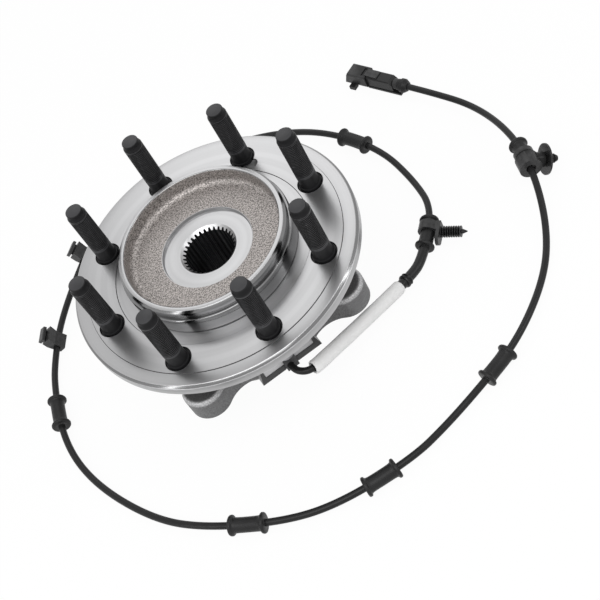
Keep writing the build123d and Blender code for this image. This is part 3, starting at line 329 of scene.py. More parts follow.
def turned_steel(name, colour, roughness, pitch=0.0004, depth=0.000004, anisotropic=0.6):
    """Bright steel with lathe rings; its highlights run outwards from the axis."""
    made = Shader(name, Metallic=1.0, Anisotropic=anisotropic)
    rings = made.group("turning_marks", Pitch=pitch)
    tone = made.ramp(rings.outputs["Tone"], shade(colour, 0.96), shade(colour, 1.03), 0.35, 0.65)
    made.into(tone, "Base Color")
    made.into(made.spread(rings.outputs["Height"], roughness * 0.9, roughness * 1.1), "Roughness")
    made.into(made.bump(rings.outputs["Height"], depth), "Normal")
    tangent = made.node("ShaderNodeTangent", direction_type="RADIAL", axis="Z")
    made.into(tangent.outputs[0], "Tangent")


def forged_skin(name, colour):
    """Blasted forging: dull metal with a sandy grain of lighter and darker specks."""
    made = Shader(name, Metallic=0.75)
    grain = made.group("grain", Size=0.0009)
    tone = made.ramp(grain.outputs["Tone"], shade(colour, 0.36), shade(colour, 1.75))
    made.into(tone, "Base Color")
    made.into(made.spread(grain.outputs["Patches"], 0.425, 0.6), "Roughness")
    made.into(made.bump(grain.outputs["Height"], 0.00012), "Normal")


# Limits of the sensor's milled pad on the housing; the block that carries it starts at PAD_ROOT
# and, outside the pad, is drawn dark as painted shade
PAD_ROOT = -0.0736
PAD_FRONT = -0.0743
PAD_HALF_WIDTH = 0.0196
PAD_BOTTOM = 0.0404


def housing_skin(name, colour, milled):
    """As-forged skin, with a painted highlight on rounded edges, painted shade on flat tops and the
    sensor's milled pad.
    """
    made = Shader(name, Metallic=0.35)
    tree = made.tree
    grain = made.group("grain", Size=0.0008)
    place = made.node("ShaderNodeTexCoord")
    split = made.node("ShaderNodeSeparateXYZ")
    made.link(place.outputs["Object"], split.inputs[0])
    block = maths(tree, "LESS_THAN", split.outputs["Y"], PAD_ROOT)
    front = maths(tree, "LESS_THAN", split.outputs["Y"], PAD_FRONT)
    within = maths(tree, "LESS_THAN", maths(tree, "ABSOLUTE", split.outputs["X"]), PAD_HALF_WIDTH)
    above = maths(tree, "GREATER_THAN", split.outputs["Z"], PAD_BOTTOM)
    pad = maths(tree, "MULTIPLY", maths(tree, "MULTIPLY", front, within), above)
    # Painted light by slope: rounded edges are drawn lighter as a painted highlight, and flat tops
    # darker as painted shade
    facing_for_painted_light = made.node("ShaderNodeNewGeometry")
    upward = made.node("ShaderNodeSeparateXYZ")
    made.link(facing_for_painted_light.outputs["Normal"], upward.inputs[0])
    tone = made.ramp(upward.outputs["Z"], shade(colour, 0.7), shade(colour, 0.5))
    for position, share in ((0.3, 1.9), (0.8, 2.4), (0.97, 0.75)):
        stop = tone.node.color_ramp.elements.new(position)
        stop.color = (*shade(colour, share), 1.0)
    mottle = made.ramp(grain.outputs["Tone"], (0.62,) * 3, (1.3,) * 3)
    skin = made.mix(1.0, tone, mottle, "MULTIPLY")
    # The block round the pad is drawn much darker than the skin: painted shade under the flange
    skin = made.mix(block, skin, (*shade(colour, 0.22), 1.0))
    made.into(made.mix(pad, skin, (*milled, 1.0)), "Base Color")
    made.into(made.spread(grain.outputs["Patches"], 0.42, 0.62), "Roughness")
    made.into(made.bump(grain.outputs["Height"], 0.00012), "Normal")


def moulded(name, colour, roughness, size=0.0005, depth=0.00003, specular=0.2, reach=0.565):
    """Moulded rubber or plastic: an even colour with a fine skin and slightly paler edges, partly
    wear and partly painted highlight.
    """
    made = Shader(name, Specular_IOR_Level=specular)
    grain = made.group("grain", Size=size)
    wear_and_glint = made.group("edge_wear", Reach=reach)
    base = made.ramp(grain.outputs["Patches"], shade(colour, 0.85), shade(colour, 1.2), 0.3, 0.7)
    # Paler colour on the edges: partly wear, partly a painted highlight
    worn_and_glint = (*(min(1.0, 2.6 * c + 0.03) for c in colour), 1.0)
    made.into(made.mix(wear_and_glint.outputs["Mask"], base, worn_and_glint), "Base Color")
    made.into(made.spread(grain.outputs["Tone"], roughness * 0.9, roughness * 1.12), "Roughness")
    made.into(made.bump(grain.outputs["Height"], depth), "Normal")


def woven_sleeve(name, colour):
    """Pale glass-fibre braid: two crossing sets of fine threads round the sleeve."""
    made = Shader(name, Roughness=0.78)
    place = made.node("ShaderNodeUVMap")
    threads = []
    for slant in (radians(45), radians(-45)):
        turn = made.node("ShaderNodeMapping")
        turn.inputs["Rotation"].default_value = (0.0, 0.0, slant)
        made.link(place.outputs[0], turn.inputs["Vector"])
        wave = made.node("ShaderNodeTexWave")
        wave.inputs["Scale"].default_value = 420.0
        wave.inputs["Distortion"].default_value = 0.6
        made.link(turn.outputs[0], wave.inputs["Vector"])
        threads.append(wave.outputs["Fac"])
    height = maths(made.tree, "MAXIMUM", *threads)
    grain = made.group("grain", Size=0.0012, Patch=0.02)
    tone = maths(made.tree, "MULTIPLY", height, grain.outputs["Patches"])
    made.into(made.ramp(tone, shade(colour, 0.96), colour, 0.1, 0.5), "Base Color")
    made.into(made.bump(height, 0.00012), "Normal")


def ground_steel(name, colour, roughness):
    """Ground bearing steel: a plain bright metal with faint rings."""
    made = Shader(name, Metallic=1.0)
    rings = made.group("turning_marks", Pitch=0.0006)
    made.into(made.ramp(rings.outputs["Tone"], shade(colour, 0.9), colour, 0.3, 0.7), "Base Color")
    made.into(made.spread(rings.outputs["Height"], roughness * 0.8, roughness * 1.2), "Roughness")


def make_materials(context):
    """Every finish of the unit, by name."""
    make_turning_marks()
    make_grain()
    make_edge_wear_and_glint()
    hub = context.scene.hub_settings
    housing = context.scene.housing_settings
    lead = context.scene.lead_settings
    steel = tuple(hub.steel_colour)
    jacket = tuple(lead.jacket_colour)
    turned_steel("turned_face", steel, 0.30)
    # Walls and chamfers at half the steel's colour: a painted dark reflection
    turned_steel(
        "polished_wall", shade(steel, 0.5), 0.16, pitch=0.0008, depth=0.000002, anisotropic=0.5
    )
    forged_skin("forged_bowl", tuple(hub.forged_colour))
    # Near-black steel for the splined bore and the stud seats: painted shade in the bore and the
    # seat recesses
    moulded("spline_steel", (0.016, 0.016, 0.017), 0.30)
    moulded("stud_phosphate", tuple(hub.stud_colour), 0.38, size=0.0004, specular=0.09, reach=0.52)
    # Lighter stud finish on the thread's crests and end faces: a painted glint on the crests, paler
    # end faces
    moulded("stud_worn", shade(hub.stud_colour, 3.3), 0.38, size=0.0004, specular=0.25)
    housing_skin("housing_skin", tuple(housing.skin_colour), tuple(housing.milled_colour))
    # Dark steel on the flange's small steps: painted shadow lines in their corners
    turned_steel("tool_groove", shade(steel, 0.2), 0.4)
    ground_steel("bearing_steel", (0.66, 0.66, 0.67), 0.16)
    ground_steel("pressed_steel", (0.48, 0.48, 0.50), 0.32)
    moulded("seal_rubber", (0.018, 0.018, 0.018), 0.6)
    moulded("sensor_plastic", (0.026, 0.026, 0.027), 0.45)
    ground_steel("screw_steel", (0.40, 0.40, 0.41), 0.35)
    moulded("cable_jacket", jacket, 0.33, size=0.0004, depth=0.00001)
    moulded("conduit_plastic", shade(jacket, 1.1), 0.3, size=0.0004, depth=0.00001)
    moulded("grommet_rubber", shade(jacket, 1.15), 0.4)
    moulded("clip_plastic", shade(jacket, 0.9), 0.32)
    moulded("connector_plastic", jacket, 0.34)
    woven_sleeve("sleeve_braid", tuple(lead.sleeve_colour))
    ground_steel("contact_metal", (0.70, 0.58, 0.34), 0.25)


# Mesh building

def to_mesh(build, name):
    mesh = bpy.data.meshes.new(name)
    build.to_mesh(mesh)
    build.free()
    return mesh


def merge(build, other):
    """Moves all of another bmesh into this one."""
    mesh = to_mesh(other, "merge")
    build.from_mesh(mesh)
    bpy.data.meshes.remove(mesh)


def add_object(name, data):
    thing = bpy.data.objects.new(name, data)
    bpy.context.scene.collection.objects.link(thing)
    return thing


def smooth(mesh, sharp):
    """Smooth faces, with the edges above an angle kept sharp."""
    mesh.polygons.foreach_set("use_smooth", [True] * len(mesh.polygons))
    mesh.set_sharp_from_angle(angle=sharp)


def finish_object(name, build, body, materials, sharp):
    """Links a bmesh as a piece that rides on a body, smooth apart from its sharp edges."""
    mesh = to_mesh(build, name)
    for material in materials:
        mesh.materials.append(FINISHES[material])
    smooth(mesh, sharp)
    piece = add_object(name, mesh)
    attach(piece, body)
    return piece


def ring_vertices(build, rings):
    """Vertices of rings about Z; each ring is a list with one (r, z) for each step round."""
    rows = []
    for ring in rings:
        row = []
        for i, (r, z) in enumerate(ring):
            turn = 2 * pi * i / len(ring)
            row.append(build.verts.new((r * cos(turn), r * sin(turn), z)))
        rows.append(row)
    return rows


def ring_faces(build, rows, closed, materials=None):
    """Faces between rows of vertices, each in the material of the row that it ends at."""
    count = len(rows)
    around = len(rows[0])
    for k in range(count if closed else count - 1):
        first, second = rows[k], rows[(k + 1) % count]
        for i in range(around):
            j = (i + 1) % around
            face = build.faces.new((first[i], first[j], second[j], second[i]))
            if materials:
                face.material_index = materials[(k + 1) % count]


def close_poles(build):
    """Joins the vertices that fall together on the axis and turns the faces outwards."""
    bmesh.ops.remove_doubles(build, verts=build.verts, dist=1e-7)
    bmesh.ops.recalc_face_normals(build, faces=build.faces)


def lathe(points, segments, place):
    """Solid turned about Z from a profile of (r, z) that starts and ends there, then moved."""
    build = bmesh.new()
    ring_faces(build, ring_vertices(build, [[point] * segments for point in points]), closed=False)
    close_poles(build)
    build.transform(place)
    return build


def out_from_axis(radius, turn):
    """Matrix that moves a piece from the hub's axis to a place round it."""
    return Matrix.Translation((radius * cos(turn), radius * sin(turn), 0))


def wear_material(node, material):
    """Gives a CAD node's object one of the finishes."""
    slots = NODES[node].data.materials
    slots.clear()
    slots.append(FINISHES[material])


# The lead

class Centreline:
    """Points read from the lead's own spline, with the distance along it to each."""

    def __init__(self, curve_object):
        plain = curve_object.copy()
        plain.data = curve_object.data.copy()
        plain.data.bevel_depth = 0.0
        mesh = bpy.data.meshes.new_from_object(plain)
        self.points = [vertex.co.copy() for vertex in mesh.vertices]
        bpy.data.meshes.remove(mesh)
        bpy.data.objects.remove(plain)
        self.along = [0.0]
        for before, after in zip(self.points, self.points[1:]):
            self.along.append(self.along[-1] + (after - before).length)

    def at(self, distance):
        """Point and direction at a distance from the sensor."""
        distance = min(max(distance, 0.0), self.along[-1])
        low, high = 0, len(self.along) - 1
        while high - low > 1:
            middle = (low + high) // 2
            if self.along[middle] <= distance:
                low = middle
            else:
                high = middle
        share = (distance - self.along[low]) / (self.along[high] - self.along[low])
        point = self.points[low].lerp(self.points[high], share)
        before = self.points[max(low - 1, 0)]
        after = self.points[min(high + 1, len(self.points) - 1)]
        return point, (after - before).normalized()

    def nearest(self, place):
        """Distance along the line to its point nearest to a place."""
        index = min(range(len(self.points)), key=lambda i: (self.points[i] - place).length)
        return self.along[index]


def run_middle(index):
    """Middle of one run of the route, in metres."""
    return (Vector(LEAD_ROUTE_MM[index]) + Vector(LEAD_ROUTE_MM[index + 1])) * (0.5 * MM)


def cross_frame(line, distance):
    """Origin and axes square to the lead: sideways and upwards."""
    point, along = line.at(distance)
    sideways = along.cross(Vector((0, 0, 1))).normalized()
    return point, sideways, sideways.cross(along)


def sleeve_along(line, stations, bore, segments=32):
    """Tube of rings square to the lead: stations of (distance, radius), round a bore's radius."""
    build = bmesh.new()
    across = build.loops.layers.uv.new("UVMap")
    profile = stations + [(distance, bore) for distance, _ in reversed(stations)]
    rings = []
    for distance, radius in profile:
        point, sideways, upward = cross_frame(line, distance)
        ring = []
        for i in range(segments):
            turn = 2 * pi * i / segments
            spoke = sideways * cos(turn) + upward * sin(turn)
            ring.append(build.verts.new(point + spoke * radius))
        rings.append(ring)
    count = len(rings)
    for k in range(count):
        first, second = rings[k], rings[(k + 1) % count]
        starts, ends = profile[k], profile[(k + 1) % count]
        for i in range(segments):
            j = (i + 1) % segments
            face = build.faces.new((first[i], first[j], second[j], second[i]))
            edge = (i / segments, (i + 1) / segments)
            girth = 2 * pi * max(starts[1], ends[1])
            corners = (
                (edge[0] * girth, starts[0]), (edge[1] * girth, starts[0]),
                (edge[1] * girth, ends[0]), (edge[0] * girth, ends[0]),
            )
            for loop, corner in zip(face.loops, corners):
                loop[across].uv = corner
    bmesh.ops.recalc_face_normals(build, faces=build.faces)
    return build


def lead_piece(name, build, finish, sharp=radians(32)):
    """A piece on the lead in one finish, riding on the bearing housing."""
    return finish_object(name, build, "bearing_housing", [finish], sharp)


def steps_between(start, end):
    """Distances along the lead that are about STATION_SPACING apart."""
    count = max(2, int((end - start) / STATION_SPACING))
    return [start + (end - start) * k / count for k in range(count + 1)]


# The lead's centre line, kept here for the operators that lay pieces along it
LINE = {}


class HUBUNIT_OT_lead(bpy.types.Operator):
    """Lays the sensor's cable with its sleeve, conduit and band"""

    bl_idname = "hubunit.lead"
    bl_label = "Sensor lead"

    sleeve_start, sleeve_end = 0.0187, 0.1128
    sleeve_wall = 0.0012
    sleeve_hem = 0.0003
    ripple_height, ripple_rate = 0.00004, 260
    conduit_overlap = 0.006
    collar_offset = 0.0052
    grommet_gap = 0.0128

    def execute(self, context):
        settings = context.scene.lead_settings
        curve = bpy.data.curves.new("lead_cable", "CURVE")
        curve.dimensions = "3D"
        curve.resolution_u = 16
        curve.bevel_depth = settings.cable_diameter / 2
        curve.bevel_resolution = 10
        curve.use_fill_caps = True
        spline = curve.splines.new("NURBS")
        spline.points.add(len(LEAD_ROUTE_MM) - 1)
        for point, place in zip(spline.points, LEAD_ROUTE_MM):
            point.co = (place[0] * MM, place[1] * MM, place[2] * MM, 1.0)
        spline.order_u = 3
        spline.use_endpoint_u = True
        curve.materials.append(FINISHES["cable_jacket"])
        cable = add_object("lead_cable", curve)
        line = Centreline(cable)
        LINE["lead"] = line
        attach(cable, "bearing_housing")
        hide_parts("sensor_cable")
        self.sleeve(line, settings)
        return {"FINISHED"}

    def sleeve(self, line, settings):
        """Heat sleeve, the conduit that starts inside its end and the flared band over that."""
        start, end = self.sleeve_start, self.sleeve_end
        radius = settings.sleeve_diameter / 2
        stations = []
        for distance in steps_between(start, end):
            ripple = self.ripple_height * sin(distance * self.ripple_rate)
            stations.append((distance, radius + ripple))
        stations[0] = (start, radius - self.sleeve_hem)
        stations[-1] = (end, radius - self.sleeve_hem)
        build = sleeve_along(line, stations, radius - self.sleeve_wall, 40)
        piece = lead_piece("heat_sleeve", build, "sleeve_braid")
        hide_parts("cable_sleeve")
        thick = settings.conduit_diameter / 2
        conduit_end = line.nearest(run_middle(GROMMET_RUNS[0])) - self.grommet_gap
        stations = [(d, thick) for d in steps_between(end - self.conduit_overlap, conduit_end)]
        build = sleeve_along(line, stations, settings.cable_diameter / 2 + FIT_GAP)
        piece = lead_piece("conduit", build, "conduit_plastic")
        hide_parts("cable_conduit")
        first = end + self.collar_offset
        flare = [
            (first, thick + 0.0008), (first + 0.0008, thick + 0.0013),
            (first + 0.0018, thick + 0.0012), (first + 0.0028, thick + 0.0004),
            (first + 0.0038, thick + 0.0012), (first + 0.0044, thick + 0.0008),
        ]
        build = sleeve_along(line, flare, thick + FIT_GAP)
        piece = lead_piece("conduit_collar", build, "clip_plastic")
        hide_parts("conduit_band")


class HUBUNIT_OT_grommets(bpy.types.Operator):
    """Moulds the rubber grommets round the lead"""

    bl_idname = "hubunit.grommets"
    bl_label = "Grommets"

    half_length = 0.0125
    collar_width = 0.0026
    collar_depth = 0.0019

    def execute(self, context):
        settings = context.scene.lead_settings
        line = LINE["lead"]
        collar = settings.grommet_diameter / 2
        waist = collar - self.collar_depth
        bore = settings.cable_diameter / 2 + FIT_GAP
        half = self.half_length
        inside = half - self.collar_width
        right = [
            (0.0, waist), (0.0040, waist), (0.0072, waist + 0.00005),
            (inside - 0.0010, waist + 0.0002), (inside - 0.0003, waist + 0.0005),
            (inside, collar - 0.0009), (inside + 0.0003, collar - 0.0003),
            (inside + 0.0008, collar), (half - 0.0009, collar),
            (half - 0.0003, collar - 0.0003), (half, collar - 0.0009), (half, bore + 0.0006),
        ]
        profile = [(-x, r) for x, r in reversed(right[1:])] + right
        for number, run in enumerate(GROMMET_RUNS, start=1):
            middle = line.nearest(run_middle(run))
            stations = [(middle + x, r) for x, r in profile]
            name = f"rubber_grommet_{number}"
            build = sleeve_along(line, stations, bore, 40)
            piece = lead_piece(name, build, "grommet_rubber", radians(60))
            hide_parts(f"grommet_{number}")
        return {"FINISHED"}


class HUBUNIT_OT_clips(bpy.types.Operator):
    """Finishes the straps, fir trees and square clips on the lead"""

    bl_idname = "hubunit.clips"
    bl_label = "Clips"

    def execute(self, context):
        for node in CLIP_NODES:
            wear_material(node, "clip_plastic")
        return {"FINISHED"}


class HUBUNIT_OT_connector(bpy.types.Operator):
    """Finishes the plug, its seal, lock and contacts"""

    bl_idname = "hubunit.connector"
    bl_label = "Connector"

    def execute(self, context):
        wear_material("connector_body", "connector_plastic")
        wear_material("connector_lock", "connector_plastic")
        wear_material("connector_seal", "grommet_rubber")
        wear_material("connector_pins", "contact_metal")
        return {"FINISHED"}


class HUBUNIT_OT_declare_lead(bpy.types.Operator):
    bl_idname = "hubunit.declare_lead"
    bl_label = "Declare the lead"

    def execute(self, context):
        names = ["heat_sleeve", "conduit", "conduit_collar"]
        names += [f"rubber_grommet_{number}" for number in range(1, len(GROMMET_RUNS) + 1)]
        names += CLIP_NODES
        names += ["connector_seal", "connector_body", "connector_lock", "connector_pins"]
        return {"FINISHED"}


# The hub

FACE = 0.090
RIM_TOP = FACE + 0.0203
STUDS = 8
STUD_CIRCLE_RADIUS = 0.08255


def bowl_profile():
    """The hub's outline as (r, z, corner, finish), from the bore's mouth outwards to its foot."""
    return [
        (0.0322, 0.0958, 0.0003, "turned_face"),
        (0.0328, 0.0982, 0.0004, "turned_face"),
        (0.0448, 0.0982, 0.0104, "forged_bowl"),
        (0.0558, 0.0982, 0.0104, "forged_bowl"),
        (0.0558, RIM_TOP - 0.0005, 0.0002, "forged_bowl"),
        (0.0563, RIM_TOP, 0.0002, "polished_wall"),
        (0.0590, RIM_TOP, 0.0002, "turned_face"),
        (0.06065, RIM_TOP - 0.0018, 0.0003, "polished_wall"),
        (0.06065, FACE + 0.0136, 0.0002, "polished_wall"),
        (0.06035, FACE + 0.0134, 0.0001, "polished_wall"),
        (0.06035, FACE + 0.0130, 0.0001, "polished_wall"),
        (0.0618, FACE + 0.0130, 0.0002, "polished_wall"),
        (0.0624, FACE + 0.0124, 0.0003, "polished_wall"),
        (0.0624, FACE + 0.0006, 0.0002, "polished_wall"),
        (0.0620, FACE + 0.0004, 0.0001, "polished_wall"),
        (0.0620, FACE - 0.0004, 0.0001, "polished_wall"),
        (0.0715, FACE - 0.0004, 0.0, "turned_face"),
        # The dark rings at the small steps here are painted shadow lines in the steps' corners
        (0.0719, FACE, 0.0, "tool_groove"),
        (0.0934, FACE, 0.0, "turned_face"),
        (0.0938, FACE - 0.0006, 0.0, "tool_groove"),
        (0.1020, FACE - 0.0006, 0.0003, "turned_face"),
        (0.1037, FACE - 0.0023, 0.0002, "polished_wall"),
        (0.1037, FACE - 0.0026, 0.0, "turned_face"),
        (0.1033, FACE - 0.0029, 0.0, "tool_groove"),
        (0.1037, FACE - 0.0033, 0.0, "turned_face"),
        (0.1037, 0.0810, 0.0003, "turned_face"),
        (0.1027, 0.0800, 0.0002, "turned_face"),
        (0.0460, 0.0800, 0.0020, "forged_bowl"),
        (0.0420, 0.0775, 0.0020, "turned_face"),
        (0.0420, 0.0755, 0.0002, "turned_face"),
        (0.0300, 0.0755, 0.0002, "turned_face"),
        (0.0300, 0.0115, 0.0002, "turned_face"),
        (0.0375, 0.0115, 0.0010, "turned_face"),
        (0.0365, 0.0050, 0.0030, "turned_face"),
        (0.0330, 0.0, 0.0020, "turned_face"),
        (0.0220, 0.0, 0.0003, "turned_face"),
        (0.0205, 0.0015, 0.0003, "turned_face"),
        (0.0205, 0.0150, 0.0003, "turned_face"),
    ]


# A rounded corner takes up at most this share of a side; one above LARGE_CORNER gets more steps
CORNER_SHARE = 0.48
LARGE_CORNER = 0.005


def tooth_radius(share, minor, major):
    """Radius of the splined wall at a share of one tooth pitch: tooth, flank, space, flank."""
    crest, flank = 0.36, 0.14
    if share < crest:
        return minor
    if share < crest + flank:
        return minor + (major - minor) * (share - crest) / flank
    if share < 1 - flank:
        return major
    return major - (major - minor) * (share - 1 + flank) / flank


def rounded(outline):
    """Points of an outline with its corners rounded, and the finish that leads up to each."""
    corners = [Vector((r, z)) for r, z, _, _ in outline]
    points, finishes = [], []
    for index, (_, _, size, finish) in enumerate(outline):
        here = corners[index]
        if index in (0, len(outline) - 1) or size == 0:
            points.append(here)
            finishes.append(finish)
            continue
        before, after = corners[index - 1] - here, corners[index + 1] - here
        start = here + before.normalized() * min(size, CORNER_SHARE * before.length)
        end = here + after.normalized() * min(size, CORNER_SHARE * after.length)
        steps = 10 if size > LARGE_CORNER else 2
        for step in range(steps + 1):
            t = step / steps
            points.append(start * (1 - t) ** 2 + here * (2 * t * (1 - t)) + end * t ** 2)
            finishes.append(finish)
    return points, finishes


class HUBUNIT_OT_hub(bpy.types.Operator):
    """Turns the wheel hub with its bowl, pilots, stud seats and splined bore"""

    bl_idname = "hubunit.hub"
    bl_label = "Wheel hub"

    finishes = ("turned_face", "polished_wall", "forged_bowl", "spline_steel", "tool_groove")
    sharp = radians(28)
    minor_radius = 0.0176
    major_radius = 0.0192
    mouth_radius = 0.0205
    mouth_top = 0.0958
    mouth_bottom = 0.0932
    lower_seat = 0.0150
    dimple_radius = 0.0775
    dimple_turn = radians(38)
    cutter_top = 0.0925

    def execute(self, context):
        settings = context.scene.hub_settings
        around = settings.segments * settings.spline_teeth
        points, finish_of = rounded(bowl_profile())
        rings = [[(point.x, point.y)] * around for point in points]
        teeth = []
        for i in range(around):
            share = (i % settings.segments) / settings.segments
            teeth.append(tooth_radius(share, self.minor_radius, self.major_radius))
        slope = (self.mouth_top - self.mouth_bottom) / (self.mouth_radius - self.minor_radius)
        rings.append([(r, self.lower_seat + (self.mouth_radius - r)) for r in teeth])
        rings.append([(r, self.mouth_top - (self.mouth_radius - r) * slope) for r in teeth])
        rings.append([(self.mouth_radius, self.mouth_top)] * around)
        finish_of += ["turned_face", "spline_steel", "turned_face"]
        build = bmesh.new()
        materials = [self.finishes.index(finish) for finish in finish_of]
        ring_faces(build, ring_vertices(build, rings), closed=True, materials=materials)
        bmesh.ops.recalc_face_normals(build, faces=build.faces)
        hub = finish_object(
            "wheel_hub_forging", build, "hub", self.finishes, self.sharp
        )
        self.cut_seats(hub)
        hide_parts("wheel_hub")
        return {"FINISHED"}

    def cut_seats(self, hub):
        """Stud seats and the small round recess, cut into the flange's face."""
        build = bmesh.new()
        top = self.cutter_top
        seat = [(0.0, 0.0885), (0.0088, 0.0885), (0.0094, 0.0892), (0.0094, top), (0.0, top)]
        for k in range(STUDS):
            tool = lathe(seat, 48, out_from_axis(STUD_CIRCLE_RADIUS, 2 * pi * k / STUDS))
            # The seats' faces are drawn near black: painted shade in the recess round each stud
            for face in tool.faces:
                face.material_index = self.finishes.index("spline_steel")
            merge(build, tool)
        dimple = [(0.0, 0.0870), (0.0040, 0.0885), (0.0040, top), (0.0, top)]
        merge(build, lathe(dimple, 32, out_from_axis(self.dimple_radius, self.dimple_turn)))
        cutter = add_object("seat_cutters", to_mesh(build, "seat_cutters"))
        cut = hub.modifiers.new("seats", "BOOLEAN")
        cut.operation = "DIFFERENCE"
        cut.solver = "EXACT"
        cut.use_self = True
        cut.object = cutter
        bpy.context.view_layer.update()
        graph = bpy.context.evaluated_depsgraph_get()
        shaped = bpy.data.meshes.new_from_object(
            hub.evaluated_get(graph), preserve_all_data_layers=True, depsgraph=graph
        )
        hub.modifiers.clear()
        old = hub.data
        hub.data = shaped
        shaped.name = "wheel_hub_turned"
        bpy.data.meshes.remove(old)
        bpy.data.objects.remove(cutter)
        smooth(shaped, self.sharp)


class HUBUNIT_OT_studs(bpy.types.Operator):
    """Makes the wheel studs with their rolled thread and dog point"""

    bl_idname = "hubunit.studs"
    bl_label = "Wheel studs"

    segments = 40
    thread_start = 0.1010
    thread_end = 0.1362
    crest = 0.0070
    crest_tolerance = 0.00012
    depth = 0.00065
    flank_slope = 1.15
    per_pitch = 6
    end_face = 0.1412
    twist = 1.7

    def stud(self, pitch):
        """One stud on the Z axis, from its head to its point."""
        build = bmesh.new()
        lower = [
            (0.0, 0.0730), (0.0100, 0.0730), (0.0112, 0.0736), (0.0115, 0.0748),
            (0.0115, 0.0798), (0.0113, 0.0800), (0.0081, 0.0800), (0.0081, 0.0909),
            (0.0080, 0.0912), (0.0071, 0.0914), (0.0069, 0.0922), (0.0069, 0.1000),
            (0.0070, 0.1004),
        ]
        upper = [
            (0.0068, 0.1370), (0.0063, 0.1378), (0.0060, 0.1382), (0.0060, 0.1408),
            (0.0059, 0.1411), (0.0056, 0.1413), (0.0, 0.1413),
        ]
        around = self.segments
        rings = [[point] * around for point in lower]
        turns = (self.thread_end - self.thread_start) / pitch
        rows = int(turns * self.per_pitch)
        for row in range(rows + 1):
            height = self.thread_start + (self.thread_end - self.thread_start) * row / rows
            # Runs in over the first quarter of the thread and out over the last twelfth
            fade = min(1.0, 4 * row / rows, 12 * (rows - row) / rows)
            ring = []
            for i in range(around):
                share = (height / pitch - i / around) % 1.0
                groove = max(0.0, 1 - self.flank_slope * abs(2 * share - 1))
                ring.append((self.crest - self.depth * fade * groove, height))
            rings.append(ring)
        rings += [[point] * around for point in upper]
        ring_faces(build, ring_vertices(build, rings), closed=False)
        close_poles(build)
        # Crest and end faces take the lighter finish: a painted glint on the crests, paler end
        # faces
        for face in build.faces:
            inner = min(hypot(vert.co.x, vert.co.y) for vert in face.verts)
            low = min(vert.co.z for vert in face.verts)
            threaded = self.thread_start < low < self.thread_end
            if threaded and inner > self.crest - self.crest_tolerance or low > self.end_face:
                face.material_index = 1
        return build

    def execute(self, context):
        pitch = context.scene.hub_settings.thread_pitch
        single = to_mesh(self.stud(pitch), "single_stud")
        build = bmesh.new()
        for k in range(STUDS):
            place = out_from_axis(STUD_CIRCLE_RADIUS, 2 * pi * k / STUDS)
            copy = bmesh.new()
            copy.from_mesh(single)
            copy.transform(place @ Matrix.Rotation(self.twist * k, 4, "Z"))
            merge(build, copy)
        bpy.data.meshes.remove(single)
        studs = finish_object(
            "threaded_studs", build, "hub",
            ["stud_phosphate", "stud_worn"], radians(50),
        )
        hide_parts("wheel_studs")
        return {"FINISHED"}


class HUBUNIT_OT_bearing(bpy.types.Operator):
    """Finishes the inner rings, rollers, cages, pulse ring and seals"""

    bl_idname = "hubunit.bearing"
    bl_label = "Bearing"

    finish = {
        "bearing_steel": (
            "outboard_inner_ring", "inboard_inner_ring", "outboard_rollers", "inboard_rollers",
        ),
        "pressed_steel": (
            "tone_ring", "outboard_slinger", "inboard_slinger", "outboard_cage", "inboard_cage",
            "outboard_seal_case", "inboard_seal_case",
        ),
        "seal_rubber": ("outboard_seal_lip", "inboard_seal_lip"),
    }

    def execute(self, context):
        for material, nodes in self.finish.items():
            for node in nodes:
                wear_material(node, material)
        return {"FINISHED"}


class HUBUNIT_OT_housing(bpy.types.Operator):
    """Finishes the fixed housing, its speed sensor and the screw"""

    bl_idname = "hubunit.housing"
    bl_label = "Housing"

    def execute(self, context):
        wear_material("outer_ring", "housing_skin")
        wear_material("sensor_body", "sensor_plastic")
        wear_material("sensor_oring", "seal_rubber")
        wear_material("sensor_screw", "screw_steel")
        return {"FINISHED"}


# The stage

def area_lamp(name, place, aim, size, power):
    """Area lamp that points at a height on the hub's axis."""
    lamp = bpy.data.lights.new(name, "AREA")
    lamp.shape = "RECTANGLE"
    lamp.size, lamp.size_y = size
    lamp.energy = power
    holder = add_object(name, lamp)
    holder.location = place
    holder.rotation_mode = "QUATERNION"
    holder.rotation_quaternion = (Vector((0, 0, aim)) - Vector(place)).to_track_quat("-Z", "Y")


